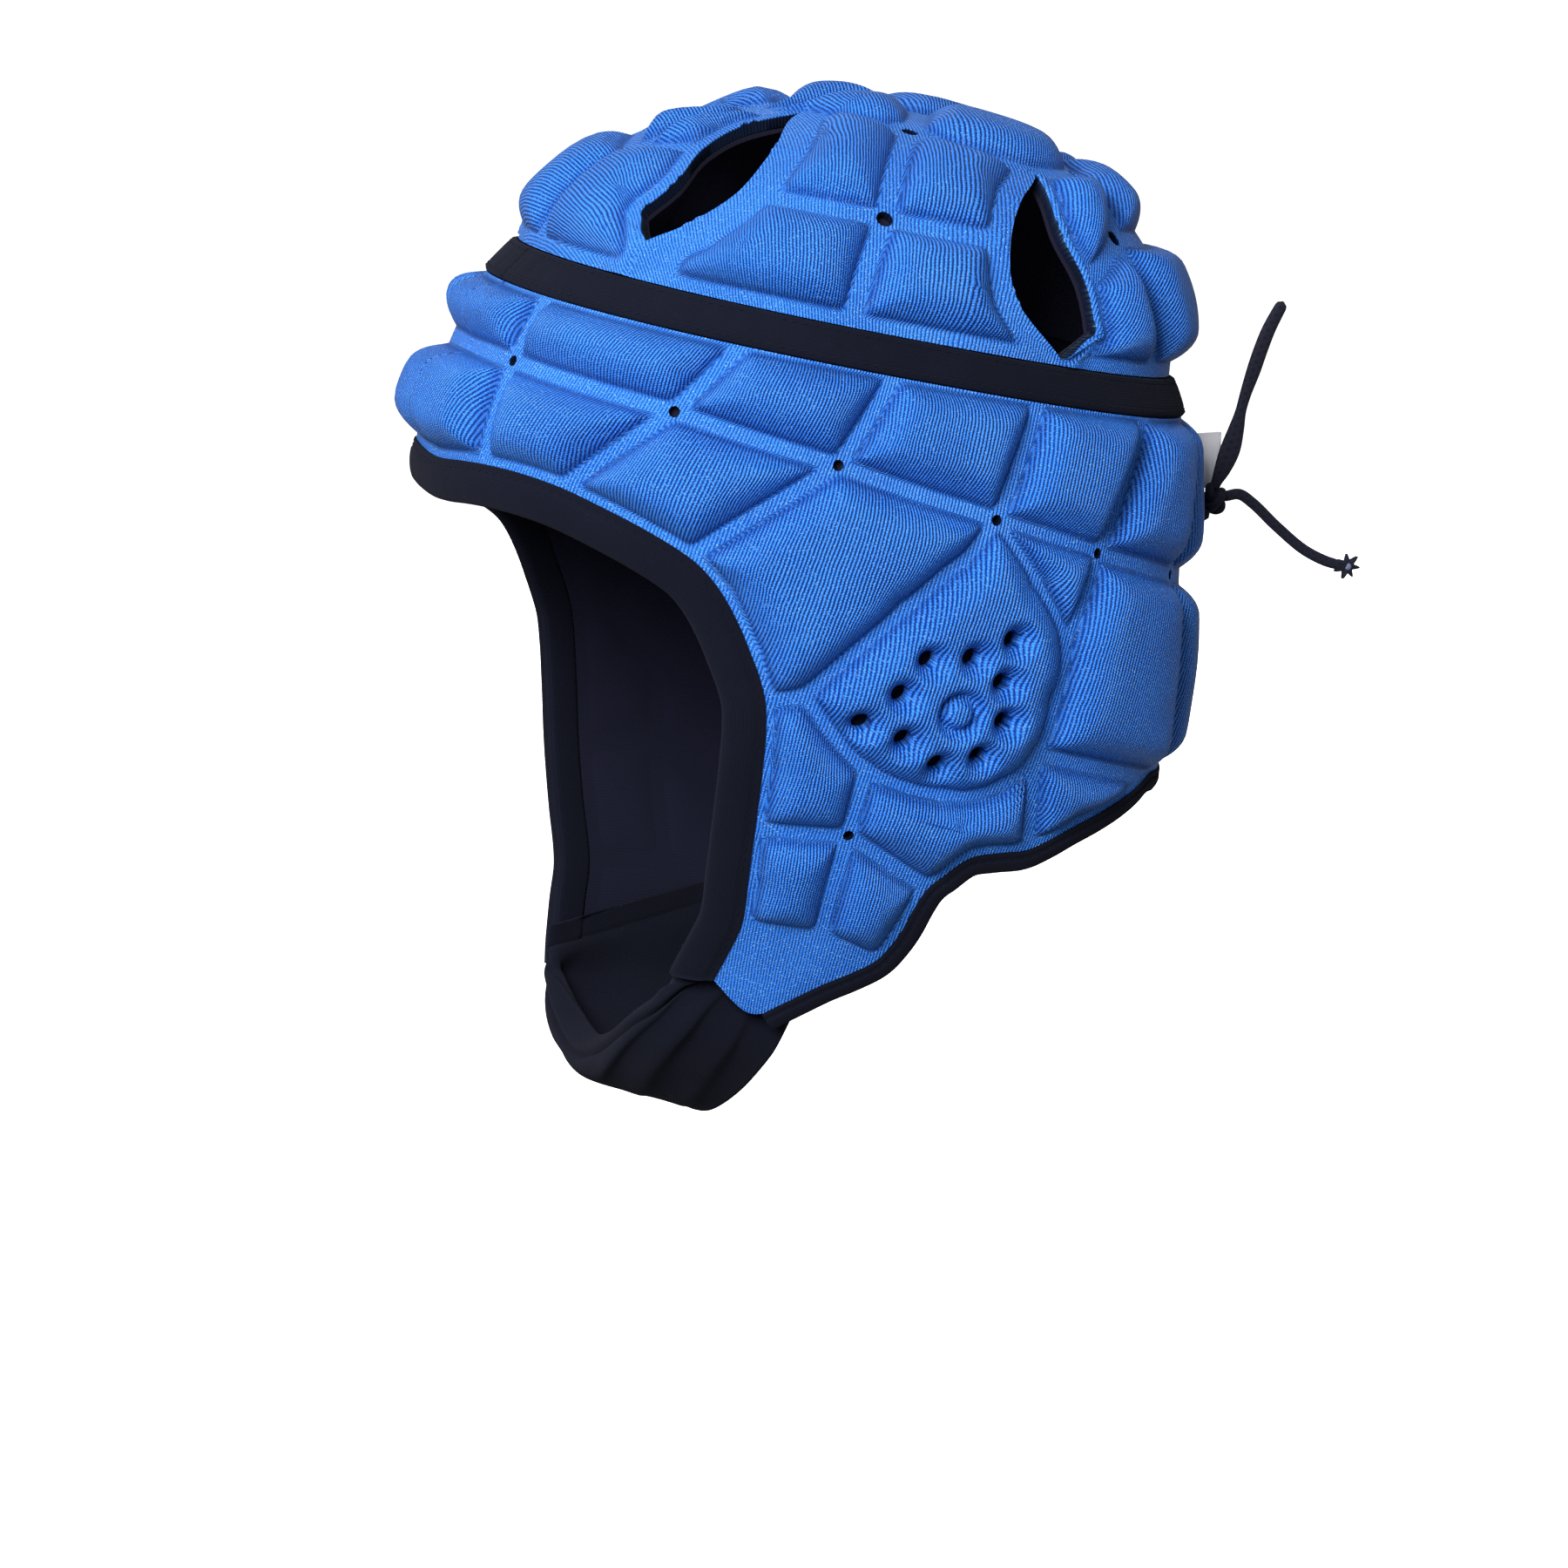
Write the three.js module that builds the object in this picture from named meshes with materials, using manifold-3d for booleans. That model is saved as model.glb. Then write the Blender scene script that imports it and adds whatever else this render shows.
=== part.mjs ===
// Soft shell scrum cap: padded crown, padded side shell, elastic band, bindings, chin strap and rear lacing.
// Millimetres, +Z up, the face looks toward -Y and the wearer's left is +X.
// The origin is the point inside the crown where the top of the head rests against the lining.
import * as THREE from "three";
import Module from "manifold-3d";

const wasm = await Module();
wasm.setup();

// Head form that every soft wall follows, drawn square to the elastic band.
const BAND_PITCH = 13; // degrees that the band plane falls from the forehead to the nape
const PLAN_POWER = 2.25; // squareness of each section of the form seen from above
const CROWN = {
  halfWidth: 78,
  front: 95,
  back: 94,
  height: 62,
  poleShift: 8,
  sidePower: 0.85,
  frontPower: 1.08,
  backPower: 0.83,
};
const SIDE_COLUMNS = ["drop", "halfWidth", "front", "back", "shift"];
const SIDE_SECTIONS = [
  [0, 80, 100, 99, 0],
  [25, 85, 113, 99, 5],
  [55, 88, 124, 98, 12],
  [90, 87, 126, 95, 20],
  [125, 81, 120, 88, 28],
  [165, 70, 104, 78, 37],
  [205, 58, 90, 65, 46],
];

// Walls of the padded pieces.
const SKIN = 3; // thickness of the pressed foam and cloth in the grooves
const GAP = 0.3; // sewn pieces lie this far apart
const LINING = 1.2;
const PAD_SHOULDER = 9; // a cell reaches its full height this far in from its groove
const PAD_POWER = 2.2; // roundness of that shoulder
const GROOVE_HALF = 2.8;
const FLANGE = 4.2; // flat margin of a cell along a free edge
const BAND_MARGIN = 1.2; // the same along the elastic band
const STEP = 14; // spacing of the points along the grooves
const VENT_HOLE = 1.8; // radius of the round holes in the grooves
const EAR_HOLE = 2.1;

// Trim.
const BAND_HALF = 5;
const BAND_OUT = 1;
const BAND_IN = -2.2;
const FACE_BINDING = 10.5;
const NECK_BINDING = 5.5;
const STRAP_THICK = 2.6;
const STRAP_STEPS = 20;
const STRAP_ACROSS = 5;
const STRAP_SEAM = 1.2; // the strap's ends lie this far below the tips of the jaw flaps
const LACE_RADIUS = 1.6;
const LACE_SIDES = 8;
const GUSSET_OUT = -0.7;
const GUSSET_IN = -2.2;
const REAR_EDGE = 170; // degrees from the front to the rear edge of the side shell

const CROWN_EDGE = THREE.MathUtils.radToDeg(Math.asin((BAND_HALF + GAP) / CROWN.height));
const TOP_EDGE = BAND_HALF + GAP;

// Corners of the crown's cells: degrees from the front, degrees of rise above the band.
const CROWN_POINTS = {
  frontBand: [0, CROWN_EDGE],
  frontRow: [0, 36],
  frontTop: [0, 58],
  pole: [0, 90],
  rearTop: [180, 69],
  rearRow: [180, 41],
  rearBand: [180, CROWN_EDGE],
  holeTop: [69, 71],
  holeSide: [74, 34],
  holeRearTop: [148, 62],
  holeRear: [130, 41],
  seamBand: [31, CROWN_EDGE],
  sideBand: [74, CROWN_EDGE],
  footBand: [108.5, CROWN_EDGE],
  rearSideBand: [137, CROWN_EDGE],
  ventATop: [14, 65],
  ventAFront1: [14, 54.5],
  ventAFront2: [19, 43.5],
  ventAFront3: [26, 31],
  ventAFront4: [25, 21.5],
  ventAFoot: [31, 14.5],
  ventABack1: [38, 22],
  ventABack2: [42, 33],
  ventABack3: [37, 48],
  ventBTop: [114, 60],
  ventBFront1: [101, 47],
  ventBFront2: [97, 34],
  ventBFront3: [98, 20],
  ventBFoot: [108, 8],
  ventBBack1: [116, 14.5],
  ventBBack2: [114, 27],
  ventBBack3: [110, 41],
};
const CROWN_CELLS = [
  { height: 6, loop: "frontBand seamBand ventAFoot ventAFront4 ventAFront3 ventAFront2 frontRow" },
  { height: 6.5, loop: "frontRow ventAFront2 ventAFront1 ventATop frontTop" },
  { height: 7, loop: "frontTop ventATop holeTop pole" },
  { height: 7.5, loop: "ventATop ventABack3 ventABack2 holeSide holeTop" },
  { height: 8, loop: "ventABack2 ventABack1 ventAFoot seamBand sideBand holeSide" },
  { height: 7.5, loop: "holeTop holeSide ventBFront2 ventBFront1 ventBTop" },
  { height: 8, loop: "holeSide sideBand footBand ventBFoot ventBFront3 ventBFront2" },
  { height: 7, loop: "pole holeTop ventBTop holeRearTop rearTop" },
  { height: 7.5, loop: "ventBTop ventBBack3 ventBBack2 holeRear holeRearTop" },
  { height: 7.5, loop: "holeRearTop holeRear rearRow rearTop" },
  { height: 8, loop: "ventBBack2 ventBBack1 ventBFoot footBand rearSideBand holeRear" },
  { height: 8, loop: "holeRear rearSideBand rearBand rearRow" },
];
const CROWN_HOLES = ["holeTop", "holeSide", "holeRearTop", "holeRear"];

// Corners of the side shell's cells: degrees from the front, millimetres below the band.
const SIDE_POINTS = {
  top1: [16, TOP_EDGE],
  top2: [58, TOP_EDGE],
  top3: [82, TOP_EDGE],
  top4: [103, TOP_EDGE],
  top5: [129, TOP_EDGE],
  top6: [152, TOP_EDGE],
  top7: [REAR_EDGE, TOP_EDGE],
  hole1: [15.5, 24],
  hole2: [50, 26],
  hole3: [75, 31],
  hole4: [95, 38],
  hole5: [114.5, 43],
  hole6: [141, 48],
  rearMid: [REAR_EDGE, 52],
  rearEnd: [REAR_EDGE, 106],
  browMid: [0, 57],
  browFore: [17, 54],
  browF: [34, 54],
  browG: [55, 64],
  face1: [60, 72],
  face2: [64, 86],
  faceEar: [66, 98],
  face3: [65.5, 116],
  jawMid: [64, 134],
  face4: [62, 150],
  jawLow: [60, 163],
  tipFront: [54, 180],
  tipRear: [67.5, 185],
  bottom1: [75.5, 176],
  bottom2: [83, 167],
  bottom3: [86.5, 156],
  bottom4: [89, 143],
  bottom5: [94, 133],
  bottom6: [104.5, 129],
  bottom7: [115, 121],
  bottom8: [130, 112],
  rearFoot: [141, 106],
  earSlope: [84, 66],
  earLeft: [72, 94],
  earJaw: [80, 111],
  earBase: [89, 115],
  earBack: [97, 110],
  earFoot: [103, 100],
  earRight: [106, 84],
  triTip: [107.5, 68],
  earTri: [101.5, 52],
  jawHole: [78, 131],
  jawInner: [74, 162],
};
const CENTRE_CELLS = [
  { height: 8, loop: "top1_r top1 hole1 hole1_r" },
  { height: 10, loop: "hole1_r hole1 browFore browMid browFore_r" },
];
const SIDE_CELLS = [
  { height: 8, loop: "top1 top2 hole2 hole1" },
  { height: 8, loop: "top2 top3 hole3 hole2" },
  { height: 8, loop: "top3 top4 hole4 hole3" },
  { height: 8, loop: "top4 top5 hole5 hole4" },
  { height: 8, loop: "top5 top6 hole6 hole5" },
  { height: 8, loop: "top6 top7 rearMid hole6" },
  { height: 8, loop: "hole1 hole2 browF browFore" },
  { height: 8, loop: "hole2 hole3 browG browF" },
  { height: 8, loop: "hole3 hole4 earSlope earLeft faceEar face2 face1 browG" },
  { height: 6, loop: "hole4 hole5 triTip earTri" },
  { height: 8, loop: "hole5 hole6 rearFoot earFoot earRight triTip" },
  { height: 8, loop: "hole6 rearMid rearEnd rearFoot" },
  { height: 6, loop: "earFoot rearFoot bottom8 bottom7 bottom6" },
  { height: 7, loop: "jawHole earJaw earBase earBack earFoot bottom6 bottom5 bottom4" },
  { height: 7, loop: "faceEar earLeft earJaw jawHole jawMid face3" },
  { height: 6, loop: "jawMid jawHole jawInner jawLow face4" },
  { height: 6, loop: "jawHole bottom4 bottom3 bottom2 jawInner" },
  { height: 0, loop: "jawLow jawInner bottom2 bottom1 tipRear tipFront" },
  { height: 4.5, loop: "hole4 earTri triTip earRight earFoot earBack earBase earJaw earLeft earSlope" },
];
const SIDE_HOLES = ["hole1", "hole2", "hole3", "hole4", "hole5", "hole6", "jawHole"];
// Pierced ear panel, five holes each in an upper and a lower arc: degrees from the front, drop.
const EAR_HOLES = [
  [97, 69],
  [91, 75.5],
  [86.5, 78],
  [83.5, 88.5],
  [79, 98],
  [95.5, 81],
  [96, 91.5],
  [92.5, 102],
  [88, 106],
  [84, 100.5],
];

const materials = {
  blue: new THREE.MeshStandardMaterial({ color: 0x1f62d0, roughness: 0.5, metalness: 0 }),
  black: new THREE.MeshStandardMaterial({ color: 0x14151f, roughness: 0.85, metalness: 0 }),
  lining: new THREE.MeshStandardMaterial({ color: 0x16172a, roughness: 0.9, metalness: 0 }),
  lace: new THREE.MeshStandardMaterial({ color: 0x12131c, roughness: 0.8, metalness: 0 }),
  white: new THREE.MeshStandardMaterial({ color: 0xe8e8e6, roughness: 0.75, metalness: 0 }),
};

const rad = THREE.MathUtils.degToRad;

// Monotone cubic through one column of the table of sections.
function column(name) {
  const k = SIDE_COLUMNS.indexOf(name);
  const xs = SIDE_SECTIONS.map((row) => row[0]);
  const ys = SIDE_SECTIONS.map((row) => row[k]);
  const last = xs.length - 1;
  const slope = xs.slice(1).map((x, i) => (ys[i + 1] - ys[i]) / (x - xs[i]));
  const tangent = xs.map((x, i) => {
    if (i === 0) return slope[0];
    if (i === last) return slope[last - 1];
    if (slope[i - 1] * slope[i] <= 0) return 0;
    return (2 * slope[i - 1] * slope[i]) / (slope[i - 1] + slope[i]);
  });
  return (x) => {
    let i = 0;
    while (i < last - 1 && x > xs[i + 1]) i += 1;
    const w = xs[i + 1] - xs[i];
    const t = THREE.MathUtils.clamp((x - xs[i]) / w, 0, 1);
    const a = ys[i] * (1 + 2 * t) * (1 - t) ** 2 + ys[i + 1] * t * t * (3 - 2 * t);
    return a + w * t * (1 - t) * (tangent[i] * (1 - t) - tangent[i + 1] * t);
  };
}
const section = {
  halfWidth: column("halfWidth"),
  front: column("front"),
  back: column("back"),
  shift: column("shift"),
};

const squared = (v) => Math.sign(v) * Math.abs(v) ** (2 / PLAN_POWER);

// Point of the form above the band (rise in degrees) or below it (drop in millimetres).
function crownForm(theta, rise) {
  const s = squared(Math.sin(rad(theta)));
  const c = squared(Math.cos(rad(theta)));
  const level = Math.max(Math.cos(rad(rise)), 0);
  const lift = Math.sin(rad(rise));
  const reach = c > 0 ? CROWN.front * level ** CROWN.frontPower : CROWN.back * level ** CROWN.backPower;
  const y = CROWN.poleShift * lift * lift - reach * c;
  return new THREE.Vector3(CROWN.halfWidth * level ** CROWN.sidePower * s, y, CROWN.height * lift);
}
function sideForm(theta, drop) {
  const s = squared(Math.sin(rad(theta)));
  const c = squared(Math.cos(rad(theta)));
  const reach = c > 0 ? section.front(drop) : section.back(drop);
  return new THREE.Vector3(section.halfWidth(drop) * s, section.shift(drop) - reach * c, -drop);
}
const ZONES = {
  crown: {
    form: crownForm,
    up: 1,
    limit: 87,
    toPlane: (theta, rise) => {
      const r = 1.4 * (90 - rise);
      return new THREE.Vector2(r * Math.sin(rad(theta)), -r * Math.cos(rad(theta)));
    },
    fromPlane: (p) => [THREE.MathUtils.radToDeg(Math.atan2(p.x, -p.y)), 90 - p.length() / 1.4],
  },
  side: {
    form: sideForm,
    up: -1,
    limit: 205,
    toPlane: (theta, drop) => new THREE.Vector2(1.6 * theta, -drop),
    fromPlane: (p) => [p.x / 1.6, -p.y],
  },
};

function normalAt(zone, theta, level) {
  const { form, up, limit } = ZONES[zone];
  const at = Math.min(level, limit);
  const along = form(theta + 1, at).sub(form(theta - 1, at));
  const rise = form(theta, at + 1).sub(form(theta, at - 1)).multiplyScalar(up);
  return along.cross(rise).normalize();
}

function offsetPoint(zone, theta, level, height) {
  const p = ZONES[zone].form(theta, level);
  return p.addScaledVector(normalAt(zone, theta, level), height);
}

// Chart position of a named corner; _r marks its mirror image on the wearer's right.
function corner(points, name) {
  if (!name.endsWith("_r")) return points[name];
  const [theta, level] = points[name.slice(0, -2)];
  return [-theta, level];
}
function mirrored(name, points) {
  const theta = points[name][0];
  return theta === 0 || theta === 180 ? name : name + "_r";
}
function mirrorCell(cell, points) {
  const names = cell.loop.split(" ").map((name) => mirrored(name, points));
  return { height: cell.height, loop: names.reverse().join(" ") };
}

// Chart points from one corner up to, but not including, the next.
function edgePoints(zone, points, from, to) {
  const swap = from > to;
  const [first, second] = swap ? [to, from] : [from, to];
  let a = corner(points, first);
  let b = corner(points, second);
  if (first === "pole") a = [b[0], 90];
  if (second === "pole") b = [a[0], 90];
  let turn = b[0] - a[0];
  if (Math.abs(turn) > 180) turn -= 360 * Math.sign(turn);
  const { form } = ZONES[zone];
  const count = Math.max(1, Math.round(form(...a).distanceTo(form(...b)) / STEP));
  const list = [];
  for (let i = 0; i <= count; i += 1) {
    const t = i / count;
    const key = i === 0 ? first : i === count ? second : first + "/" + second + "/" + i;
    list.push({ key, theta: a[0] + turn * t, level: a[1] + (b[1] - a[1]) * t });
  }
  return (swap ? list.reverse() : list).slice(0, -1);
}

// A cell with its boundary in order round the outside, its centre and the distance rule of its pad.
function layCell(zone, points, cell) {
  const names = cell.loop.split(" ");
  const edges = names.map((name, i) => edgePoints(zone, points, name, names[(i + 1) % names.length]));
  let rim = edges.flat();
  rim.forEach((p) => {
    p.plane = ZONES[zone].toPlane(p.theta, p.level);
  });
  const plane = rim.map((p) => p.plane);
  if (THREE.ShapeUtils.area(plane) < 0) {
    rim = rim.reverse();
    plane.reverse();
  }
  const area = THREE.ShapeUtils.area(plane);
  const centre = new THREE.Vector2();
  plane.forEach((p, i) => {
    const q = plane[(i + 1) % plane.length];
    centre.addScaledVector(p.clone().add(q), (p.x * q.y - q.x * p.y) / (6 * area));
  });
  return { ...cell, names, rim, centre, area };
}

const sortedPair = (a, b) => (a < b ? a + " " + b : b + " " + a);

function distanceToSegment(p, a, b) {
  const line = new THREE.Line3(a, b);
  return line.closestPointToPoint(p, true, new THREE.Vector3()).distanceTo(p);
}

// Height of a pad above its grooves: rounded shoulders that follow the nearest edges of the cell.
function padHeight(zone, points, cell, freePairs, theta, level) {
  const { form } = ZONES[zone];
  const p = form(theta, level);
  let sum = 0;
  cell.names.forEach((name, i) => {
    const next = cell.names[(i + 1) % cell.names.length];
    const chain = [...edgePoints(zone, points, name, next), edgePoints(zone, points, next, name)[0]];
    const spots = chain.map((q) => form(q.theta, q.level));
    let near = Infinity;
    for (let k = 0; k + 1 < spots.length; k += 1) {
      near = Math.min(near, distanceToSegment(p, spots[k], spots[k + 1]));
    }
    const atBand = name.startsWith("top") && next.startsWith("top") && zone === "side";
    const atEdge = freePairs.has(sortedPair(name, next));
    const margin = atBand ? BAND_MARGIN : atEdge ? FLANGE : GROOVE_HALF;
    sum += Math.max(near - margin, 0.01) ** -4;
  });
  const t = Math.min(sum ** -0.25 / PAD_SHOULDER, 1);
  return cell.height * (1 - (1 - t) ** PAD_POWER);
}

class MeshBuilder {
  constructor() {
    this.spots = [];
    this.faces = [];
    this.keys = new Map();
  }
  vertex(p, key) {
    if (key !== undefined && this.keys.has(key)) return this.keys.get(key);
    this.spots.push(p);
    if (key !== undefined) this.keys.set(key, this.spots.length - 1);
    return this.spots.length - 1;
  }
  tri(a, b, c) {
    this.faces.push(a, b, c);
  }
  quad(a, b, c, d) {
    this.tri(a, b, c);
    this.tri(a, c, d);
  }
  solid() {
    const vertProperties = new Float32Array(this.spots.flatMap((p) => [p.x, p.y, p.z]));
    const triVerts = new Uint32Array(this.faces);
    return new wasm.Manifold(new wasm.Mesh({ numProp: 3, vertProperties, triVerts }));
  }
}

// Pairs of corners that bound only one cell: the free edges of a piece.
function freeEdges(cells) {
  const seen = new Map();
  cells.forEach((cell) =>
    cell.names.forEach((name, i) => {
      const pair = sortedPair(name, cell.names[(i + 1) % cell.names.length]);
      seen.set(pair, (seen.get(pair) || 0) + 1);
    }),
  );
  return new Set([...seen].filter(([, uses]) => uses === 1).map(([pair]) => pair));
}

// A cloth wall laid over the cells, from one height above the form to another, padded on its outside or plain.
function cloth(zone, points, cells, inner, outer, padded) {
  const build = new MeshBuilder();
  const free = freeEdges(cells);
  const rimUses = new Map();
  cells.forEach((cell, index) => {
    const at = (f, i) => {
      const p = cell.rim[i].plane;
      return ZONES[zone].fromPlane(cell.centre.clone().lerp(p, f));
    };
    const middle = ZONES[zone].fromPlane(cell.centre);
    const n = cell.rim.length;
    const reach = Math.sqrt(Math.abs(cell.area) / Math.PI);
    const rings = padded && cell.height > 0 ? [1 - 3.6 / reach, Math.max(1 - 9.5 / reach, 0.3)] : [];
    const lift = (chart) => (padded ? padHeight(zone, points, cell, free, ...chart) : 0);
    let ring = cell.rim.map((p) => build.vertex(offsetPoint(zone, p.theta, p.level, outer), "out " + p.key));
    rings.forEach((f) => {
      const next = cell.rim.map((p, i) => {
        const chart = at(f, i);
        return build.vertex(offsetPoint(zone, ...chart, outer + lift(chart)));
      });
      next.forEach((v, i) => {
        const j = (i + 1) % n;
        build.quad(ring[i], ring[j], next[j], v);
      });
      ring = next;
    });
    const top = build.vertex(offsetPoint(zone, ...middle, outer + lift(middle)));
    ring.forEach((v, i) => build.tri(v, ring[(i + 1) % n], top));
    const low = build.vertex(offsetPoint(zone, ...middle, inner), "low " + index);
    const under = cell.rim.map((p) => build.vertex(offsetPoint(zone, p.theta, p.level, inner), "in " + p.key));
    under.forEach((v, i) => build.tri(under[(i + 1) % n], v, low));
    cell.rim.forEach((p, i) => {
      const q = cell.rim[(i + 1) % n];
      const pair = sortedPair(p.key, q.key);
      if (rimUses.has(pair)) rimUses.delete(pair);
      else rimUses.set(pair, [p.key, q.key]);
    });
  });
  rimUses.forEach(([p, q]) => {
    const key = (side, name) => build.keys.get(side + " " + name);
    build.quad(key("out", q), key("out", p), key("in", p), key("in", q));
  });
  return build.solid();
}

// Round hole square to the form.
function drill(zone, theta, level, radius) {
  const normal = normalAt(zone, theta, level);
  const pin = wasm.Manifold.cylinder(20, radius, radius, 6, true);
  const matrix = new THREE.Matrix4().compose(
    ZONES[zone].form(theta, level).addScaledVector(normal, 1),
    new THREE.Quaternion().setFromUnitVectors(new THREE.Vector3(0, 0, 1), normal),
    new THREE.Vector3(1, 1, 1),
  );
  return pin.transform(matrix.toArray());
}

// Frames along a chain of corners: place, outward normal, and the way off the edge of the cloth.
function edgeFrames(points, names, sign) {
  const chart = [];
  names.slice(0, -1).forEach((name, i) => chart.push(...edgePoints("side", points, name, names[i + 1])));
  const end = names[names.length - 1];
  chart.push({ theta: corner(points, end)[0], level: corner(points, end)[1] });
  const spots = chart.map((p) => sideForm(p.theta, p.level));
  return chart.map((p, i) => {
    const before = spots[Math.max(i - 1, 0)];
    const after = spots[Math.min(i + 1, spots.length - 1)];
    const into = spots[i].clone().sub(before).normalize();
    const out = after.clone().sub(spots[i]).normalize();
    const run = into.add(out).normalize();
    const normal = normalAt("side", p.theta, p.level);
    const away = run.clone().cross(normal).normalize().multiplyScalar(sign);
    return { spot: spots[i], normal, away };
  });
}

// A closed strip whose section, in steps off the edge and along the normal, follows the frames.
function strip(frames, profile) {
  const build = new MeshBuilder();
  const rows = frames.map(({ spot, normal, away }) =>
    profile.map(([off, up]) => {
      const p = spot.clone().addScaledVector(away, off);
      return build.vertex(p.addScaledVector(normal, up));
    }),
  );
  return closeRows(build, rows, false);
}

// Joins rows of a section into a tube, or a ring when it closes on itself.
function closeRows(build, rows, ring) {
  const n = rows[0].length;
  const count = ring ? rows.length : rows.length - 1;
  for (let i = 0; i < count; i += 1) {
    const a = rows[i];
    const b = rows[(i + 1) % rows.length];
    for (let k = 0; k < n; k += 1) {
      const m = (k + 1) % n;
      build.quad(a[k], a[m], b[m], b[k]);
    }
  }
  if (!ring) {
    const first = rows[0];
    const last = rows[rows.length - 1];
    for (let k = 1; k + 1 < n; k += 1) {
      build.tri(first[0], first[k + 1], first[k]);
      build.tri(last[0], last[k], last[k + 1]);
    }
  }
  const made = build.solid();
  if (made.volume() > 0) return made;
  for (let i = 0; i < build.faces.length; i += 3) {
    const swap = build.faces[i + 1];
    build.faces[i + 1] = build.faces[i + 2];
    build.faces[i + 2] = swap;
  }
  return build.solid();
}

const crownCells = [...CROWN_CELLS, ...CROWN_CELLS.map((cell) => mirrorCell(cell, CROWN_POINTS))].map((cell) =>
  layCell("crown", CROWN_POINTS, cell),
);
const sideCells = [
  ...CENTRE_CELLS,
  ...SIDE_CELLS,
  ...SIDE_CELLS.map((cell) => mirrorCell(cell, SIDE_POINTS)),
].map((cell) => layCell("side", SIDE_POINTS, cell));

const both = (points, list) => list.flatMap((name) => [points[name], corner(points, name + "_r")]);
const crownPins = wasm.Manifold.union(
  both(CROWN_POINTS, CROWN_HOLES).map((p) => drill("crown", ...p, VENT_HOLE)),
);
const sidePins = wasm.Manifold.union([
  ...both(SIDE_POINTS, SIDE_HOLES).map((p) => drill("side", ...p, VENT_HOLE)),
  ...EAR_HOLES.flatMap(([theta, drop]) => [
    drill("side", theta, drop, EAR_HOLE),
    drill("side", -theta, drop, EAR_HOLE),
  ]),
]);
const LINING_OUT = -SKIN - GAP;
const LINING_IN = LINING_OUT - LINING;
const solids = {};
solids.crown_pad = cloth("crown", CROWN_POINTS, crownCells, -SKIN, 0, true).subtract(crownPins);
solids.crown_lining = cloth("crown", CROWN_POINTS, crownCells, LINING_IN, LINING_OUT, false);
solids.side_shell = cloth("side", SIDE_POINTS, sideCells, -SKIN, 0, true).subtract(sidePins);
solids.side_lining = cloth("side", SIDE_POINTS, sideCells, LINING_IN, LINING_OUT, false);

// Elastic band between the crown and the side shell.
function bandRing() {
  const build = new MeshBuilder();
  const rise = THREE.MathUtils.radToDeg(Math.asin(BAND_HALF / CROWN.height));
  const rows = [];
  for (let theta = 0; theta < 360; theta += 7.5) {
    rows.push([
      build.vertex(offsetPoint("crown", theta, rise, BAND_IN)),
      build.vertex(offsetPoint("crown", theta, rise, BAND_OUT)),
      build.vertex(sideForm(theta, 0).add(crownForm(theta, 0)).multiplyScalar(0.5)
        .addScaledVector(normalAt("side", theta, 2), BAND_OUT + 0.6)),
      build.vertex(offsetPoint("side", theta, BAND_HALF, BAND_OUT)),
      build.vertex(offsetPoint("side", theta, BAND_HALF, BAND_IN)),
    ]);
  }
  return closeRows(build, rows, true);
}
solids.band = bandRing();

// Bindings: the face opening from jaw to jaw over the brow, and the bottom edge from jaw to jaw round the nape.
const FACE_CHAIN =
  "tipFront jawLow face4 jawMid face3 faceEar face2 face1 browG browF browFore browMid".split(" ");
const NECK_CHAIN =
  "tipRear bottom1 bottom2 bottom3 bottom4 bottom5 bottom6 bottom7 bottom8 rearFoot rearEnd".split(" ");
const withMirror = (chain) => {
  const back = chain.map((name) => mirrored(name, SIDE_POINTS)).reverse();
  return [...chain, ...(back[0] === chain[chain.length - 1] ? back.slice(1) : back)];
};
const bindingProfile = (width) => [
  [GAP, LINING_IN],
  [GAP, 0.6],
  [width - 1, 0.5],
  [width, -0.7],
  [width, LINING_IN + 1.2],
  [width - 1, LINING_IN],
];
const faceFrames = edgeFrames(SIDE_POINTS, withMirror(FACE_CHAIN), -1);
const neckFrames = edgeFrames(SIDE_POINTS, withMirror(NECK_CHAIN), 1);
solids.face_binding = strip(faceFrames, bindingProfile(FACE_BINDING));
solids.neck_binding = strip(neckFrames, bindingProfile(NECK_BINDING));

// Stretch panel in the gap at the back, between the rear edges of the side shell.
function gusset() {
  const build = new MeshBuilder();
  const inset = 0.2; // degrees
  const columns = [REAR_EDGE + inset, 180, 360 - REAR_EDGE - inset];
  const rows = [];
  for (let i = 0; i <= 8; i += 1) {
    const drop = THREE.MathUtils.lerp(TOP_EDGE + 0.8, SIDE_POINTS.rearEnd[1], i / 8);
    rows.push([
      ...columns.map((theta) => build.vertex(offsetPoint("side", theta, drop, GUSSET_OUT))),
      ...[...columns].reverse().map((theta) => build.vertex(offsetPoint("side", theta, drop, GUSSET_IN))),
    ]);
  }
  return closeRows(build, rows, false);
}
solids.rear_gusset = gusset();

// Row frame: the band plane is pitched, then the head seat is brought to the origin.
const pitch = new THREE.Matrix4().makeRotationX(rad(-BAND_PITCH));
let seat = new THREE.Vector3(0, 0, -Infinity);
for (let rise = 40; rise <= 90; rise += 1) {
  const p = offsetPoint("crown", 0, rise, LINING_IN).applyMatrix4(pitch);
  if (p.z > seat.z) seat = p;
}
const toRow = new THREE.Matrix4().makeTranslation(-seat.x, -seat.y, -seat.z).multiply(pitch);
const rowPoint = (theta, drop, height) => offsetPoint("side", theta, drop, height).applyMatrix4(toRow);

Object.keys(solids).forEach((name) => {
  solids[name] = solids[name].transform(toRow.toArray());
});

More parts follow.
